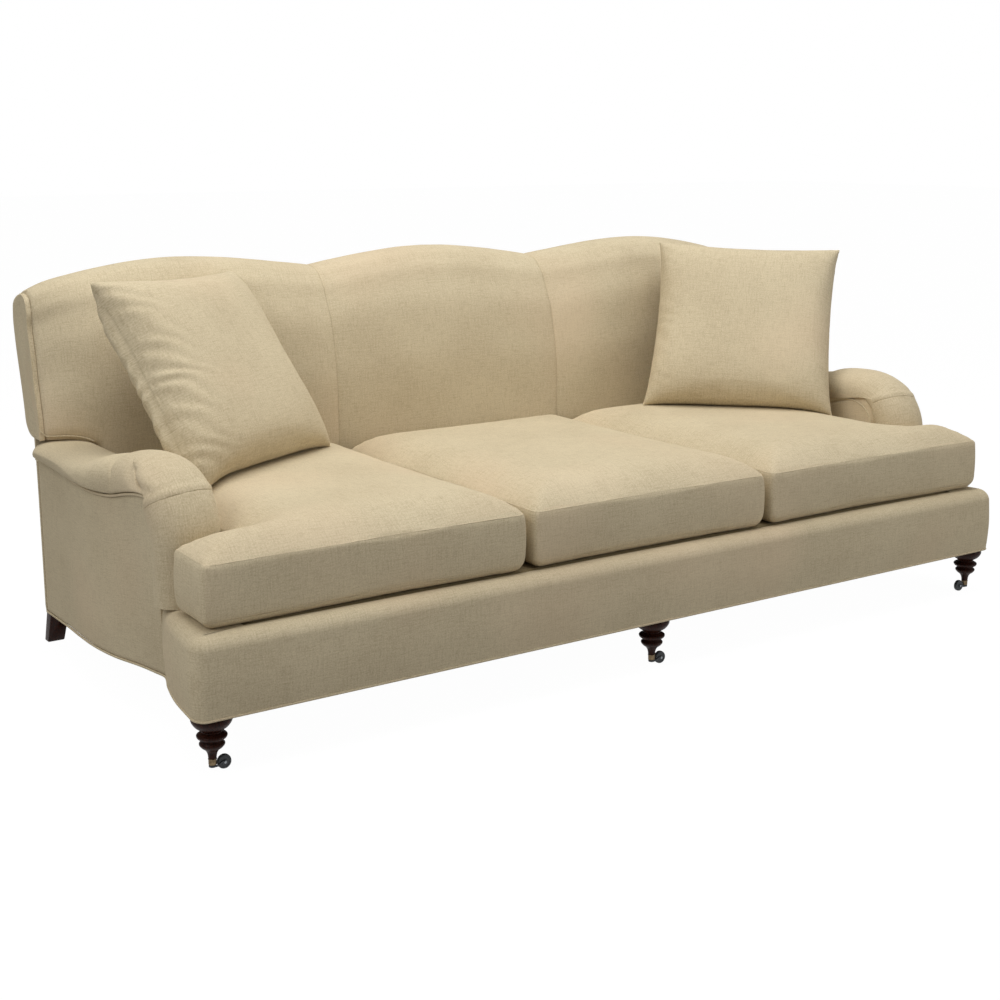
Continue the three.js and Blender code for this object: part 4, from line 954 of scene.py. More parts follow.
def back_section(name, x0, x1, seams):
    xs = spread(x0, x1, 70, 0.35)
    wing = [i for i, x in enumerate(xs) if abs(x) > ARM_INSIDE - 0.002]
    if wing:
        edge = wing[0] if x0 > 0 else wing[-1]
        xs[edge] = math.copysign(ARM_INSIDE - 0.002, x0)
    lower = spread(0, 1, 22, 0.1)[:-1]
    upper = 1 - (1 - spread(0, 1, 44, 0.0)) ** 2.2
    over = np.linspace(0, 0.98, 12)[1:]
    rows = len(lower) + len(upper) + len(over)
    x = np.repeat(xs[:, None], rows, 1)
    top = crest(xs)
    sill = np.where(np.abs(xs) > ARM_INSIDE - 0.003, lip_height(xs), WING_UNDER)[:, None]
    z_low = DECK_TOP + GAP + (sill - DECK_TOP - GAP) * lower[None]
    z_up = sill + (top[:, None] - sill) * upper[None]
    z_over = top[:, None] - rear_roll(over)[None]
    z = np.concatenate([z_low, z_up, z_over], 1)
    front = back_face(x[:, :-len(over)], (top[:, None] - z[:, :-len(over)]))
    rear = np.repeat((CREST_DEPTH + (DEPTH - GAP - CREST_DEPTH) * over)[None], len(xs), 0)
    y = np.concatenate([front, rear], 1)
    outer = np.stack([x, y, z], -1)
    du = np.gradient(outer, axis=0)
    dv = np.gradient(outer, axis=1)
    facing = np.cross(du, dv)
    facing /= np.linalg.norm(facing, axis=2)[..., None]
    inset = np.zeros_like(x)
    for seam in seams:
        gap = np.abs(x - seam)
        inset += rounded(gap, 0.003) + 0.0045 * np.exp(-gap / 0.022)
    over_arm = smooth((np.abs(x) - ARM_INSIDE) / 0.02)
    inset += np.where(z >= sill - 1e-6, rounded(z - sill, 0.012), 0) * over_arm + rounded(end - np.abs(x), 0.002)
    outer = outer - facing * inset[..., None]
    inner_y = np.concatenate([
        frame_front(z[:, :-len(over)]) - GAP,
        np.repeat((RAIL_FRONT + (RAIL_BACK - RAIL_FRONT) * over)[None], len(xs), 0)], 1)
    cap = top[:, None] - RAIL_COVER
    inner = np.stack([x, np.minimum(inner_y, RAIL_BACK), np.where(z < cap, z, cap)], -1)
    inner[:, -1, 2] = z[:, -1]
    keep = np.ones((len(xs) - 1, rows - 1), bool)
    middle_x = (np.abs(xs[:-1]) + np.abs(xs[1:])) / 2
    keep[np.ix_(middle_x > ARM_INSIDE - 0.002, np.arange(rows - 1) < len(lower))] = False
    skin = Skin()
    skin.shell(outer, inner, keep)
    return skin.build(name)


middle_section = back_section("inner_back_centre", -SPLIT + GAP, SPLIT - GAP, (-SPLIT, SPLIT))
dress(middle_section, "linen", nodes=["inside_back_centre"])
left_section = back_section("inner_back_left", -end, -SPLIT - GAP, (-SPLIT,))
dress(left_section, "linen", nodes=["inside_back_left"])
dress(mirrored(left_section, "inner_back_right"), "linen", nodes=["inside_back_right"])

# %% [markdown]
# ## End panels of the back
# Each end of the back is closed by a narrow flat panel that stands over the arm. A welt runs down its front edge.
# The panel is a closed outline filled towards its middle, with its rim rounded by a few millimetres of padding.

# %% End panel
def wing_outline():
    top = float(crest(BACK_HALF))
    heights = spread(WING_UNDER, top, 40, 0.4)
    drop = top - heights
    front = np.column_stack([back_face(BACK_HALF, drop), heights])
    over = np.linspace(0, 0.86, 9)[1:]
    crown = np.column_stack([CREST_DEPTH + (DEPTH - GAP - CREST_DEPTH) * over, top - rear_roll(over)])
    rear = np.column_stack([rear_y(heights[::-1]), heights[::-1]])
    rear = rear[(rear[:, 1] < crown[-1, 1] - 0.004) & (rear[:, 1] > WING_UNDER + 0.045)]
    corner = np.array([rear_y(WING_UNDER), WING_UNDER])
    stop = corner - [0.055, 0]
    bend = [rear[-1] * (1 - t) ** 2 + corner * 2 * t * (1 - t) + stop * t * t for t in np.linspace(0, 1, 11)[1:]]
    under = np.column_stack([np.linspace(stop[0], front[0, 0], 12)[1:-1], np.full(10, WING_UNDER)])
    return front, np.concatenate([front, crown, rear, bend, under])


def make_wing_end():
    front, outline = wing_outline()
    closed = np.concatenate([outline, outline[:1]])
    middle = outline.mean(0)
    rim = np.linalg.norm(closed - middle, axis=1)
    shares = [0, 0.004, 0.012, 0.025, 0.05, 0.09, 0.16, 0.28, 0.45, 0.7, 1]
    rings = [closed + (middle - closed) * share for share in shares]
    behind = np.clip((closed[:, 0] - CREST_DEPTH) / 0.05, 0, 1)
    outer = []
    for share, ring in zip(shares, rings):
        inset = rounded(share * rim, 0.0015) + behind * rounded(share * rim, 0.010) * 0.8
        outer.append(np.column_stack([-BACK_HALF + np.minimum(inset, BACK_WALL - 0.001), ring]))
    outer = np.stack(outer, 1)
    inner = np.stack([np.column_stack([np.full(len(r), -BACK_HALF + BACK_WALL), r]) for r in rings], 1)
    skin = Skin()
    skin.grid(outer)
    skin.grid(inner)
    skin.grid(np.stack([outer[:, 0], inner[:, 0]], 1))
    return skin.build("back_end_left"), front


wing_end, wing_front = make_wing_end()
dress(wing_end, "linen", nodes=["wing_end_left"])
dress(mirrored(wing_end, "back_end_right"), "linen", nodes=["wing_end_right"])

# %% [markdown]
# ## Outside of the back
# One large panel closes the rear. It follows the rake of the back and the camel line of its top, where it is sewn
# under the inside cover with a welt.

# %% Outside back
def make_outer_back():
    xs = spread(-1, 1, 120, 0.15)
    low_rows, high_rows = spread(0, 1, 26, 0.2), spread(0, 1, 26, 0.2)
    top = crest(xs * end) - RAIL_COVER * 0.56
    z = np.concatenate([
        np.repeat((BASE - REAR_DROP + (WING_UNDER - GAP - BASE + REAR_DROP) * low_rows)[None], len(xs), 0),
        WING_UNDER + (top - WING_UNDER)[:, None] * high_rows[None]], 1)
    half = np.where(z < WING_UNDER - GAP / 2, side_x(rear_y(z)), end)
    x = xs[:, None] * half
    inset = rounded(half - np.abs(x), 0.003) + rounded(z - BASE + REAR_DROP, 0.005)
    inset += rounded(top[:, None] - z, 0.008)
    outer = np.stack([x, rear_y(z) - np.minimum(inset, BACK_WALL - 0.001), z], -1)
    inner = np.stack([x, rear_y(z) - BACK_WALL, z], -1)
    skin = Skin()
    skin.shell(outer, inner)
    return skin.build("outer_back")


dress(make_outer_back(), "linen", nodes=["outside_back"])

# %% [markdown]
# ## Deck and dust cover
# Under the cushions lies a sprung deck in plain platform cloth. Under the frame, a thin black cambric is tacked on.

# %% Deck
def make_deck():
    rear = float(frame_front(DECK_TOP - 0.010)) - GAP
    s, t = np.meshgrid(spread(-1, 1, 90, 0.3), spread(0, 1, 50, 0.3), indexing="ij")
    y = LIP_DEPTH + GAP + (rear - LIP_DEPTH - GAP) * t
    x = s * DECK_HALF
    inset = rounded(DECK_HALF - np.abs(x), 0.006) + rounded(y - LIP_DEPTH - GAP, 0.006)
    outer = np.stack([x, y, DECK_TOP - np.minimum(inset, 0.009)], -1)
    inner = np.stack([x, y, np.full_like(x, DECK_TOP - 0.010)], -1)
    skin = Skin()
    skin.shell(outer, inner)
    return skin.build("deck_cloth")


dress(make_deck(), "platform_cloth", nodes=["seat_deck"])


# %% Dust cover
def make_dust_cover():
    low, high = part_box("dust_cover")
    s, t = np.meshgrid(np.linspace(-1, 1, 60), np.linspace(0, 1, 40), indexing="ij")
    y = (low.y - SHIFT) + (high.y - low.y) * t
    x = s * high.x
    sag = 0.0015 * (1 - s**2) * np.sin(math.pi * t)
    z = underside(y) + 0.004 - GAP - 0.002
    upper = np.stack([x, y, z + 0.0012 - sag], -1)
    lower = np.stack([x, y, z + 0.0004 - sag], -1)
    skin = Skin()
    skin.shell(lower, upper)
    flat = (2 * high.x, float(high.y - low.y) * 1.001)
    return skin.build("dust_cloth"), flat


dust_cloth, flat_size = make_dust_cover()
dress(dust_cloth, "black_cambric", nodes=["dust_cover"])

# %% [markdown]
# ## Seat cushions
# The three loose cushions are boxed: a crowned top, a flat underside and a band between two seams. The outer two are
# T-shaped, wrapping in front of the arms. Each starts as a closed form just inside its final size. Blender's cloth,
# blown up a little from inside, then makes it swell the way filling does, and the seams are pressed in afterwards.

# %% Cushion outline
CUSHION_FRONT, SEAM_LOW, SEAM_HIGH = 0.021, 0.296, 0.410
CROWN, BELLY, BOX_SWELL, DRAW_IN = 0.051, 0.0167, 0.004, 0.005
CORNER, CROWN_REACH, BELLY_REACH = 0.020, 0.170, 0.020


def cushion_outline(corners, shrink=0.0):
    corners = np.array(corners, float)
    outline = []
    for i, corner in enumerate(corners):
        before, after = corners[i - 1], corners[(i + 1) % len(corners)]
        into = (corner - before) / np.linalg.norm(corner - before)
        length = np.linalg.norm(after - corner)
        out = (after - corner) / length
        start, stop = corner - into * CORNER, corner + out * CORNER
        for t in np.linspace(0, 1, 7):
            outline.append(start * (1 - t) ** 2 + corner * 2 * t * (1 - t) + stop * t * t)
        normal = np.array([-out[1], out[0]])
        pull = DRAW_IN * min(length / BACK_FRONT, 1)
        for share in np.linspace(0, 1, max(int(length / 0.02), 4))[1:-1]:
            run = CORNER + (length - 2 * CORNER) * share
            outline.append(corner + out * run + normal * pull * math.sin(math.pi * share))
    return np.array(outline)


def edge_distance(points, outline):
    best = np.full(len(points), 9.0)
    for a, b in zip(outline, np.roll(outline, -1, 0)):
        run = b - a
        share = np.clip(((points - a) @ run) / max(run @ run, 1e-12), 0, 1)
        best = np.minimum(best, np.linalg.norm(points - a - share[:, None] * run, axis=1))
    return best


# %% Cushion before it is filled
def cushion_form(name, corners, hub, inset):
    outline = cushion_outline(corners)
    inwards = outline - hub
    outline = outline - inwards / np.linalg.norm(inwards, axis=1)[:, None] * inset
    hub = np.array(hub)

    def ring(share, base, height, reach, power=3.0):
        plan_ring = outline + (hub - outline) * share
        rise = 1 - np.clip(edge_distance(plan_ring, outline) / reach, 0, 1)
        return np.column_stack([plan_ring, base + height * (1 - rise**power)])

    below = (1, 0.9, 0.7, 0.45, 0.25, 0.16, 0.11, 0.08, 0.055, 0.035, 0.018, 0.008, 0)
    rings = [ring(s, SEAM_LOW + inset, -BELLY - inset + 0.001, BELLY_REACH, 1.7) for s in below]
    for t in np.linspace(0, 1, 9)[1:-1]:
        swell = outline + (outline - hub) / np.linalg.norm(outline - hub, axis=1)[:, None] * (
            BOX_SWELL * math.sin(math.pi * t))
        height = SEAM_LOW + inset + (SEAM_HIGH - SEAM_LOW - 2 * inset) * t
        rings.append(np.column_stack([swell, np.full(len(outline), height)]))
    shares = (0, 0.015, 0.04, 0.08, 0.14, 0.22, 0.32, 0.45, 0.6, 0.75, 0.9, 1)
    rings += [ring(s, SEAM_HIGH - inset, CROWN, CROWN_REACH) for s in shares]
    grid = np.stack([np.concatenate([r, r[:1]]) for r in rings], 1)
    skin = Skin()
    skin.grid(grid)
    return skin.build(name)


# %% [markdown]
# ### Filling a cushion with the cloth simulation
# A cushion could be sculpted, but cloth under pressure gives the taut crown and the soft corners by itself.
# The form is remeshed into even small faces, blown up for some frames with gravity off, and then frozen.
# No point may travel further than a limit, so the cushion keeps to the space that the frame leaves for it.

# %% The filling recipe
def applied(piece):
    """The piece's mesh with its modifiers' result."""
    bpy.context.view_layer.update()
    return bpy.data.meshes.new_from_object(piece.evaluated_get(bpy.context.evaluated_depsgraph_get()))


def use_modifier(piece, kind, **settings):
    modifier = piece.modifiers.new(kind.lower(), kind)
    for key, value in settings.items():
        setattr(modifier, key, value)
    mesh = applied(piece)
    piece.modifiers.clear()
    piece.data = mesh


def points_of(mesh):
    points = np.zeros(len(mesh.vertices) * 3)
    mesh.vertices.foreach_get("co", points)
    return points.reshape(-1, 3)


def evened(values, mesh, passes):
    """Values averaged with those of the neighbouring points, several times over."""
    ends = np.zeros(len(mesh.edges) * 2, int)
    mesh.edges.foreach_get("vertices", ends)
    a, b = ends.reshape(-1, 2).T
    count = len(mesh.vertices)
    around = np.bincount(a, minlength=count) + np.bincount(b, minlength=count)
    for _ in range(passes):
        total = [np.bincount(a, v[b], count) + np.bincount(b, v[a], count) for v in values.T]
        values = (values + np.stack(total, 1) / around[:, None]) / 2
    return values


def fill_with_cloth(piece, voxel, reach, pressure, frames=20, passes=0, stiffness=15, bending=0.5):
    use_modifier(piece, "REMESH", mode="VOXEL", voxel_size=voxel)
    before = points_of(piece.data)
    cloth = piece.modifiers.new("cloth", "CLOTH")
    settings = cloth.settings
    settings.quality, settings.mass = 5, 0.3
    settings.tension_stiffness = settings.compression_stiffness = stiffness
    settings.shear_stiffness, settings.bending_stiffness = 5, bending
    settings.use_pressure, settings.uniform_pressure_force = True, pressure
    settings.effector_weights.gravity = 0
    cloth.collision_settings.use_collision = False
    cloth.point_cache.frame_start, cloth.point_cache.frame_end = 1, frames
    for number in range(1, frames + 1):
        bpy.context.scene.frame_set(number)
    mesh = applied(piece)
    piece.modifiers.clear()
    piece.data = mesh
    bpy.context.scene.frame_set(1)
    travelled = evened(points_of(mesh) - before, mesh, passes)
    length = np.linalg.norm(travelled, axis=1)
    held = before + travelled * np.minimum(1, reach / np.maximum(length, 1e-9))[:, None]
    mesh.vertices.foreach_set("co", held.ravel())
    print(f"{piece.name}: cloth moved {length.mean() * 1000:.1f} mm on average, held to {reach * 1000:.0f}")
    use_modifier(piece, "SUBSURF", levels=1, render_levels=1)


# %% The three seat cushions
rear_edge = BACK_FRONT - 0.002 - BOX_SWELL
inner_edge = SPLIT - 0.001 - BOX_SWELL
seam_side = -SPLIT - 0.001 - BOX_SWELL
arm_side = -ROLL_MIDDLE + ROLL_HALF + 0.002 + BOX_SWELL
ear_outer, ear_rear = -(HALF_WIDTH - 0.029), CUSHION_FRONT + 0.166
centre_corners = [(-inner_edge, CUSHION_FRONT), (inner_edge, CUSHION_FRONT), (inner_edge, rear_edge),
                  (-inner_edge, rear_edge)]
outer_corners = [(ear_outer, CUSHION_FRONT), (seam_side, CUSHION_FRONT), (seam_side, rear_edge),
                 (arm_side, rear_edge), (arm_side, ear_rear), (ear_outer, ear_rear)]


def keep_on_deck(piece):
    """Flattens what would sink into the deck."""
    points = points_of(piece.data)
    points[:, 2] = np.maximum(points[:, 2], DECK_TOP + GAP)
    piece.data.vertices.foreach_set("co", points.ravel())


def make_cushion(name, corners, hub):
    piece = cushion_form(name, corners, hub, 0.003)
    fill_with_cloth(piece, 0.011, 0.006, 4.0, 14)
    keep_on_deck(piece)
    press_seam(piece, (0, 0, SEAM_HIGH), (0, 0, 1), lambda c: True, -0.0010, 0.0016)
    press_seam(piece, (0, 0, SEAM_LOW + 0.001), (0, 0, 1), lambda c: True, 0.0014, 0.0020)
    weave_by_box(piece)
    return piece


centre_cushion = make_cushion("cushion_centre", centre_corners, (0, (CUSHION_FRONT + rear_edge) / 2))
dress(centre_cushion, "linen", "cushion_centre", ["seat_cushion_centre"])
outer_hub = ((seam_side + arm_side) / 2, (CUSHION_FRONT + ear_rear) / 2)
left_cushion = make_cushion("cushion_left", outer_corners, outer_hub)
dress(left_cushion, "linen", "cushion_left", ["seat_cushion_left"])
right_cushion = dress(mirrored(left_cushion, "cushion_right"), "linen", "cushion_right", ["seat_cushion_right"])

# %% [markdown]
# ## Throw pillows
# Two square knife-edged pillows lean in the corners. Two squares of cloth sewn at the rim and stuffed pull their
# sides in and pucker along the seams. The cloth simulation fills each one from a flatter form whose sides are drawn in,
# and short folds along one upright seam are then pressed in.

# %% Pillows
PILLOW_HALF, PILLOW_THICK, PILLOW_EDGE, PILLOW_DRAW = 0.261, 0.080, 0.003, 0.014
PILLOWS = {
    "left": ((-0.775, 0.706, 0.675), (-34.6, 1.7, 30)),
    "right": ((0.823, 0.635, 0.678), (-31.8, 2.2, -44)),
}


def pillow_form(name, thickness):
    u = spread(-1, 1, 61, 0.3)
    s, t = np.meshgrid(u, u, indexing="ij")
    x = s * (PILLOW_HALF - PILLOW_DRAW * (1 - t**2) * np.abs(s) ** 3)
    z = t * (PILLOW_HALF - PILLOW_DRAW * (1 - s**2) * np.abs(t) ** 3)
    swell = ((1 - s**4) * (1 - t**4)) ** 0.55
    depth = PILLOW_EDGE + (thickness - PILLOW_EDGE) * swell
    skin = Skin()
    skin.shell(np.stack([x, -depth - SHIFT, z], -1), np.stack([x, depth - SHIFT, z], -1))
    return skin.build(name)


def weave_flat(piece):
    """UV map straight from the pillow's own plane."""
    mesh = piece.data
    layer = mesh.uv_layers.get(WEAVE_MAP) or mesh.uv_layers.new(name=WEAVE_MAP)
    corners = np.zeros(len(mesh.loops), int)
    mesh.loops.foreach_get("vertex_index", corners)
    flat = points_of(mesh)[corners][:, [0, 2]]
    layer.data.foreach_set("uv", flat.astype(np.float32).ravel())


def stuffed_pillow(name):
    """A filled pillow about the origin, brought back to its full size."""
    piece = pillow_form(name, 0.074)
    fill_with_cloth(piece, 0.0065, 0.008, 4.0, 12, 40)
    points = points_of(piece.data)
    wanted = np.array([PILLOW_HALF, PILLOW_THICK, PILLOW_HALF])
    points *= wanted / np.abs(points).max(0)
    piece.data.vertices.foreach_set("co", points.ravel())
    weave_flat(piece)
    return piece


def pucker(piece, way, depth, bulge, reach=0.070, spacing=0.047):
    """Short folds along one upright seam, with the rear cover bulging past it and a wider lower corner."""
    points = points_of(piece.data)
    x, y, z = points[:, 0] * way, points[:, 1], points[:, 2]
    inside = PILLOW_HALF - x
    phase = z + 0.80 * inside + 0.012 * np.sin(z * 29) + 0.006 * np.sin(z * 71 + 1)
    fold = np.cos(math.pi * phase / spacing) ** 2
    uneven = 0.75 + 0.25 * np.sin(z * 17 + 2)
    near = np.exp(-((np.maximum(inside, 0) / reach) ** 1.5)) * uneven * smooth((PILLOW_HALF - np.abs(z)) / 0.05)
    points[:, 1] -= np.sign(y) * np.minimum(depth * fold * near, np.abs(y) * 0.5)
    points[:, 0] -= way * 0.6 * depth * fold * near * smooth(1 - inside / 0.02)
    rear = smooth(y / 0.035) * np.exp(-np.maximum(inside, 0) / 0.05) * smooth((PILLOW_HALF - np.abs(z)) / 0.15)
    corner = smooth((x + 0.05) / 0.30) * smooth((0.10 - z) / 0.30)
    points[:, 0] += way * bulge * (rear + 0.4 * corner)
    piece.data.vertices.foreach_set("co", points.ravel())


def settle(piece, cushion, side, reach=0.120, touch=0.0006):
    """Lets a pillow's lower edge sink until it follows the top of the cushion that carries it."""
    top = BVHTree.FromObject(cushion, bpy.context.evaluated_depsgraph_get())
    points = points_of(piece.data)
    across = Vector((math.cos(math.radians(PILLOWS[side][1][2])), math.sin(math.radians(PILLOWS[side][1][2])), 0))
    height = np.full(len(points), 9.0)
    for i, point in enumerate(points):
        hit = top.ray_cast(Vector((point[0], point[1], 1.5)), Vector((0, 0, -1)))[0] if point[2] < 0.68 else None
        if hit:
            height[i] = point[2] - hit.z
    bins = np.round((points @ np.array(across)) / 0.02).astype(int)
    bins -= bins.min()
    lowest = np.array([height[bins == b].min() if (bins == b).any() else 9.0 for b in range(bins.max() + 1)])
    lowest = np.where(lowest < reach, lowest, np.nan)
    known = ~np.isnan(lowest)
    lowest = np.interp(np.arange(len(lowest)), np.flatnonzero(known), lowest[known])
    places = (points @ np.array(across)) / 0.02
    low = np.interp(places - places.min(), np.arange(len(lowest)), lowest)
    share = np.clip((height - low) / np.maximum(reach - low, 1e-6), 0, 1)
    points[:, 2] -= np.where(height < reach, (low - touch) * (1 - share) ** 2, 0)
    piece.data.vertices.foreach_set("co", points.ravel())
    print(f"{piece.name}: lower edge was {lowest.min() * 1000:.0f} to {lowest.max() * 1000:.0f} mm above the cushion")


def place_pillow(piece, middle, turns):
    tilt, roll, yaw = (math.radians(v) for v in turns)
    turn = Matrix.Rotation(yaw, 4, "Z") @ Matrix.Rotation(tilt, 4, "X") @ Matrix.Rotation(roll, 4, "Y")
    piece.data.transform(Matrix.Translation(Vector(middle) + Vector((0, SHIFT, 0))) @ turn)


left_pillow = stuffed_pillow("pillow_left")
right_pillow = mirrored(left_pillow, "pillow_right")
pucker(left_pillow, -1, 0.0075, 0.034)
pucker(right_pillow, -1, 0.0020, 0.007)
for side, pillow, cushion in (("left", left_pillow, left_cushion), ("right", right_pillow, right_cushion)):
    place_pillow(pillow, *PILLOWS[side])
    settle(pillow, cushion, side)
    dress(pillow, "linen", "pillow_" + side, ["throw_pillow_" + side])

# %% [markdown]
# ## Turned front legs and their casters
# A front leg is turned on a lathe: a wide disc, a smaller bead, a vase and a slim stem into a brass ferrule.
# Everything about it is round, so its profile is spun about the leg's axis. The caster under it is a swivel plate
# with a pin, two cheeks and a rubber wheel on an axle. The wheel trails to one side, as a caster does at rest.

# %% Turned shapes
def turned(skin, profile, axis_point, segments=48, across=None):
    """Spins a profile of radii and heights about an upright axis, or about the axis named by across."""
    angle = np.linspace(0, 2 * math.pi, segments + 1)
    radius, height = np.array(profile, float).T
    a = np.outer(np.cos(angle), radius)
    b = np.outer(np.sin(angle), radius)
    c = np.repeat(height[None], len(angle), 0)
    order = {None: (a, b, c), "y": (a, c, b)}[across]
    skin.grid(np.stack(order, -1) + np.array(axis_point))


def fine(points, count):
    """More points on a smooth line through a few."""
    points = np.array(points, float)
    places = np.arange(len(points))
    dense = np.linspace(0, len(points) - 1, count)
    return np.column_stack([through(np.column_stack([places, points[:, k]]))(dense) for k in (0, 1)])


LEG_X, LEG_TOP, DISC = 1.100, 0.1157, 0.0405
LEG_LINE = [
    (0.92, 1), (1, 0.93), (0.97, 0.87), (0.8, 0.79), (0.56, 0.735), (0.49, 0.7), (0.6, 0.675), (0.72, 0.65),
    (0.745, 0.625), (0.69, 0.59), (0.53, 0.56), (0.5, 0.548), (0.56, 0.52), (0.62, 0.495), (0.61, 0.465),
    (0.5, 0.42), (0.35, 0.38), (0.255, 0.33), (0.215, 0.28)]


def make_leg(side, x):
    line = fine(LEG_LINE, 130) * [DISC, LEG_TOP]
    profile = [(0, 0.1197), (0.017, 0.1197), (0.017, LEG_TOP), *line.tolist(), (0.008, 0.0263), (0.0062, 0.0263),
               (0.0062, 0.0153), (0, 0.0153)]
    skin = Skin()
    turned(skin, profile, (x, FRONT_LEG_DEPTH, 0), 64)
    return skin.build("turned_leg_" + side, 40)


def make_ferrule(side, x):
    profile = [(0.0022, 0.013), (0.0068, 0.013), (0.0078, 0.0136), (0.008, 0.0145), (0.008, 0.0236), (0.0086, 0.0242),
               (0.0088, 0.0250), (0.0084, 0.0258), (0.0078, 0.026), (0.0066, 0.026), (0.0066, 0.015),
               (0.0022, 0.015), (0.0022, 0.013)]
    skin = Skin()
    turned(skin, profile, (x, FRONT_LEG_DEPTH, 0), 48)
    return skin.build("ferrule_" + side, 35)


# %% Casters
WHEEL, WHEEL_HALF, TRAIL = 0.0145, 0.005, 0.024
CHEEK_LINE = [(-0.12, 0.875), (0.36, 0.875), (0.8, 1.24), (1.12, 1.24), (1.2, 1), (1.1, 0.76), (0.84, 0.72),
              (0.34, 0.6), (-0.12, 0.6)]


def slab(skin, outline, low, high, bevel, place):
    """A flat plate standing along y, with softened rims."""
    outline = np.array(outline)
    closed = np.concatenate([outline, outline[:1]])
    middle = outline.mean(0)
    rings = []
    for share, depth in ((1, low), (0.06, low), (0, low + bevel), (0, high - bevel), (0.06, high), (1, high)):
        line = closed + (middle - closed) * share
        rings.append(np.column_stack([line[:, 0], np.full(len(line), depth), line[:, 1]]))
    skin.grid(np.stack(rings, 1) + np.array(place))


def make_caster(side, x, way):
    skin = Skin()
    place = (x, FRONT_LEG_DEPTH, 0)
    turned(skin, [(0, 0.0085), (0.0070, 0.0085), (0.0075, 0.009), (0.0075, 0.0122), (0.0070, 0.0127), (0.002, 0.0127),
                  (0.002, 0.0232), (0.0014, 0.0237), (0, 0.0237)], place, 40)
    cheek = np.array(CHEEK_LINE) * [TRAIL * way, WHEEL]
    for near, far in ((-0.0072, -0.0055), (0.0055, 0.0072)):
        slab(skin, cheek, near, far, 0.0004, place)
    fork = skin.build("caster_fork_cast_" + side, 35)
    hub = (x + TRAIL * way, FRONT_LEG_DEPTH, WHEEL)
    skin = Skin()
    turned(skin, [(0, -0.0082), (0.0022, -0.0082), (0.0028, -0.0078), (0.0028, -0.0074), (0.0018, -0.0074),
                  (0.0018, 0.0074), (0.0028, 0.0074), (0.0028, 0.0078), (0.0022, 0.0082), (0, 0.0082)],
           hub, 24, "y")
    axle = skin.build("caster_pin_" + side, 35)
    skin = Skin()
    tread = [(0.0019, -0.005), (0.0050, -0.005), (0.0052, -0.0044), (0.0098, -0.0044), (0.0102, -0.005),
             (0.0120, -0.005), (0.0138, -0.0040), (0.0144, -0.0022), (WHEEL, 0), (0.0144, 0.0022), (0.0138, 0.0040),
             (0.0120, 0.005), (0.0102, 0.005), (0.0098, 0.0044), (0.0052, 0.0044), (0.0050, 0.005), (0.0019, 0.005),
             (0.0019, -0.005)]
    turned(skin, tread, hub, 48, "y")
    wheel = skin.build("caster_tyre_" + side, 35)
    return fork, axle, wheel


for side, x, way in (("left", -LEG_X, 1), ("centre", 0, 1), ("right", LEG_X, -1)):
    dress(make_leg(side, x), "walnut", nodes=["front_leg_" + side])
    dress(make_ferrule(side, x), "aged_brass", nodes=["caster_ferrule_" + side])
    fork, axle, wheel = make_caster(side, x, way)
    dress(fork, "caster_iron", "caster_swivel_" + side, ["caster_fork_" + side])
    dress(axle, "spring_steel", "caster_swivel_" + side, ["caster_axle_" + side])
    dress(wheel, "wheel_rubber", "wheel_" + side, ["caster_wheel_" + side])

# %% [markdown]
# ## Back legs
# The back legs are square and raked. The frame already has their shape, so a copy of each solid is taken, its
# doubles are merged and its edges are softened with a small bevel.

# %% Back legs
def make_back_leg(side):
    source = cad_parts["back_leg_" + side]
    piece = bpy.data.objects.new("raked_leg_" + side, source.data.copy())
    bpy.context.scene.collection.objects.link(piece)
    work = bmesh.new()
    work.from_mesh(piece.data)
    bmesh.ops.remove_doubles(work, verts=work.verts, dist=1e-5)
    bmesh.ops.dissolve_limit(work, angle_limit=math.radians(1), verts=work.verts, edges=work.edges)
    work.to_mesh(piece.data)
    work.free()
    use_modifier(piece, "BEVEL", width=0.0022, segments=3, limit_method="ANGLE", angle_limit=math.radians(25))
    tidy(piece, 40)
    return piece


for side in ("left", "centre", "right"):
    dress(make_back_leg(side), "walnut", nodes=["back_leg_" + side])

# %% [markdown]
# ## Welts
# With the covers in place, the welts go on: round the lower edge of the base, under each arm's roll, down the front
# edge of each end panel and along the top of the outside back. Each path is worked out from the cover's own curves.

# %% Paths of the welts
WELT = 0.0026


def both_sides(path):
    return [path, path * [-1, 1, 1]]


lower_y = spread(RETURN + 0.001, float(panel_rear(BASE - REAR_DROP)), 80)
lower_side = np.column_stack([-arm_outer(lower_y, underside(lower_y)) + 0.001, lower_y, underside(lower_y)])
lower_front = np.column_stack([plan - outward * 0.0005, np.full(len(plan), BASE)])
lower_path = np.concatenate([lower_side[::-1], lower_front, lower_side * [-1, 1, 1]])
welt("welt_lower", lower_path, radius=0.0026)

seat_y = spread(CORE_FRONT + 0.003, float(panel_rear(0.455)) - 0.004, 90)
seat_z = arm_seat(seat_y)
under_roll = np.column_stack([-arm_outer(seat_y, seat_z) - 0.0030, seat_y, seat_z - 0.0034])
welt("welt_under_rolls", both_sides(under_roll), radius=0.0030)

INNER_TURN, INNER_DROP = 0.085, 0.062
inner_y = spread(CORE_FRONT + INNER_TURN + 0.005, CORE_REAR - 0.06, 70)
inner_roll = np.column_stack([np.full(70, -ARM_INSIDE - 0.0005), inner_y, arm_seat(inner_y) - 0.0015])
bend = np.linspace(0, math.pi / 2, 12)[1:]
start_y, start_z = inner_roll[0, 1:]
turn_y, turn_z = start_y - INNER_TURN * np.sin(bend), start_z - INNER_DROP * (1 - np.cos(bend))
down_z = np.linspace(turn_z[-1], DECK_TOP + 0.004, 12)[1:]
inner_front = np.column_stack([np.full(22, -ARM_INSIDE - 0.0005), np.append(turn_y, np.full(11, turn_y[-1])),
                               np.append(turn_z, down_z)])
inner_roll = np.concatenate([inner_front[::-1], inner_roll])
welt("welt_inner_arms", both_sides(inner_roll), radius=WELT)

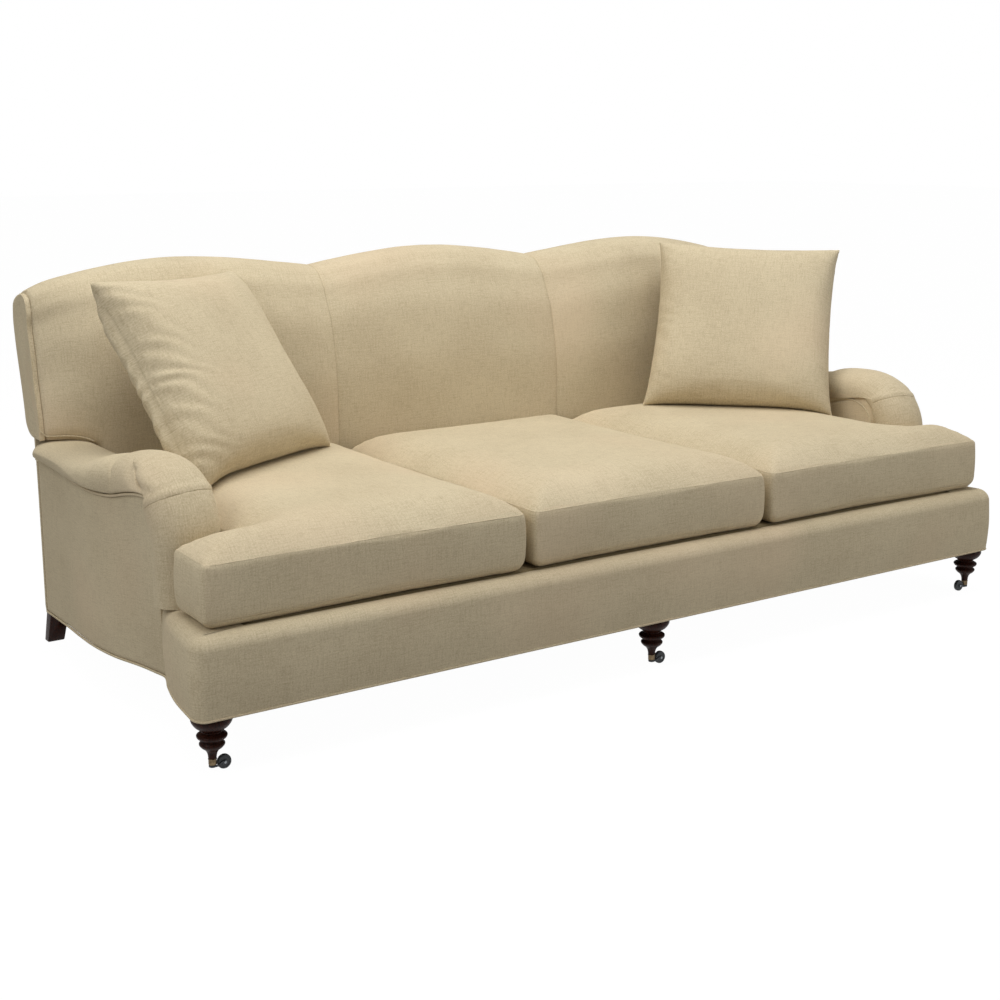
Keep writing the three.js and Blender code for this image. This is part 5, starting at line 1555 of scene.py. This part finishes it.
wing_path = np.column_stack([np.full(len(wing_front), -BACK_HALF + 0.0012), wing_front[:, 0] + 0.001, wing_front[:, 1]])
lip_x = -np.linspace(BACK_HALF - 0.014, ARM_INSIDE + 0.020, 40)
lip_z = lip_height(lip_x) + 0.010
lip_path = np.column_stack([lip_x, back_face(lip_x, crest(lip_x) - lip_z) + 0.0015, lip_z])
turn = wing_path[wing_path[:, 2] > WING_UNDER + 0.024]
welt("welt_back_ends", both_sides(np.concatenate([turn[::-1], lip_path])), radius=0.0016, spacing=0.004)

back_x = spread(-end + 0.004, end - 0.004, 260)
back_path = np.column_stack([back_x, np.full(260, DEPTH - 0.0026), crest(back_x) - RAIL_COVER * 0.54])
welt("welt_outer_back", back_path, radius=WELT)

# %% [markdown]
# ## What stays of the frame
# The hardwood, the springs and the studs keep their own shapes, since those are right, and only get their finishes.

# %% Finishes for the frame's own parts
for name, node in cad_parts.items():
    if not node.hide_render:
        slot = "spring_steel" if "spring" in name or "stud" in name else "frame_hardwood"
        for index in range(max(len(node.material_slots), 1)):
            if len(node.material_slots) == 0:
                node.data.materials.append(FINISHES[slot])
            else:
                node.material_slots[index].material = FINISHES[slot]

# %% [markdown]
# ## Studio
# The sofa stands in a plain white studio: a broad soft light above and in front, an even white surround, and a pale
# floor. The floor is white to the camera, and still takes a little of the sofa's shadow.

# %% Floor and surround
def make_floor():
    floor_finish = Finish("studio_floor")
    path = floor_finish.node("ShaderNodeLightPath", {}, {}, "Is Camera Ray")
    gloss = floor_finish.node("ShaderNodeLightPath", {}, {}, "Is Glossy Ray")
    plain = floor_finish.node("ShaderNodeBsdfDiffuse", {}, {"Color": (0.42, 0.42, 0.42, 1)}, "BSDF")
    white = floor_finish.node("ShaderNodeEmission", {}, {"Color": (1, 1, 1, 1), "Strength": 1.09}, "Emission")
    seen = floor_finish.node("ShaderNodeMixShader", {}, {
        "Fac": (path + gloss) * 0.90, "Shader": plain, "Shader_001": white}, "Shader")
    floor_finish.tree.links.new(seen.socket, floor_finish.output.inputs["Surface"])
    mesh = bpy.data.meshes.new("studio_floor")
    mesh.from_pydata([(-30, -30, 0), (30, -30, 0), (30, 30, 0), (-30, 30, 0)], [], [(0, 1, 2, 3)])
    mesh.materials.append(floor_finish.material)
    floor = bpy.data.objects.new("studio_floor", mesh)
    bpy.context.scene.collection.objects.link(floor)


def make_surround():
    world = bpy.data.worlds.new("studio")
    bpy.context.scene.world = world
    world.use_nodes = True
    tree = world.node_tree
    tree.nodes.clear()
    path = tree.nodes.new("ShaderNodeLightPath")
    seen = tree.nodes.new("ShaderNodeMath")
    seen.operation = "MAXIMUM"
    tree.links.new(path.outputs["Is Camera Ray"], seen.inputs[0])
    tree.links.new(path.outputs["Is Transmission Ray"], seen.inputs[1])
    dim, white = tree.nodes.new("ShaderNodeBackground"), tree.nodes.new("ShaderNodeBackground")
    dim.inputs["Strength"].default_value = SURROUND
    white.inputs["Strength"].default_value = 1.0
    for node in (dim, white):
        node.inputs["Color"].default_value = (1, 1, 1, 1)
    mixed = tree.nodes.new("ShaderNodeMixShader")
    tree.links.new(seen.outputs[0], mixed.inputs[0])
    tree.links.new(dim.outputs[0], mixed.inputs[1])
    tree.links.new(white.outputs[0], mixed.inputs[2])
    out = tree.nodes.new("ShaderNodeOutputWorld")
    tree.links.new(mixed.outputs[0], out.inputs["Surface"])


SURROUND = 0.28
make_floor()
make_surround()


# %% Lamps
def lamp(name, place, target, size, power):
    light = bpy.data.lights.new(name, "AREA")
    light.shape, light.size, light.size_y, light.energy = "RECTANGLE", size[0], size[1], power
    piece = bpy.data.objects.new(name, light)
    piece.location = Vector(place) + Vector((0, SHIFT, 0))
    aim = Vector(target) - Vector(place)
    piece.rotation_euler = aim.to_track_quat("-Z", "Y").to_euler()
    bpy.context.scene.collection.objects.link(piece)


lamp("overhead", (0, 0.30, 3.4), (0, 0.45, 0.4), (4.0, 2.4), 95)
lamp("left", (-3.6, -0.5, 2.6), (-1.1, 0.4, 0.4), (1.8, 1.8), 35)
lamp("right", (3.2, -3.0, 1.4), (0.4, 0.3, 0.4), (1.6, 1.6), 27)

# %% [markdown]
# ## Camera
# The camera was solved from straight edges of the base and the seams in the reference photograph. It stands to the
# left and looks down slightly. The picture's middle lies below the point that the camera looks at, as a shift.

# %% Camera
camera_data = bpy.data.cameras.new("camera")
camera_data.lens, camera_data.sensor_width = 56.90, 36.0
camera_data.shift_y = -0.15
camera = bpy.data.objects.new("camera", camera_data)
camera.location = (-2.2924, -2.6836 + SHIFT, 1.214)
camera.rotation_euler = (math.radians(90 - 7.648), 0, math.radians(-34.395))
bpy.context.scene.collection.objects.link(camera)
bpy.context.scene.camera = camera
bpy.context.scene.view_settings.view_transform = "Standard"
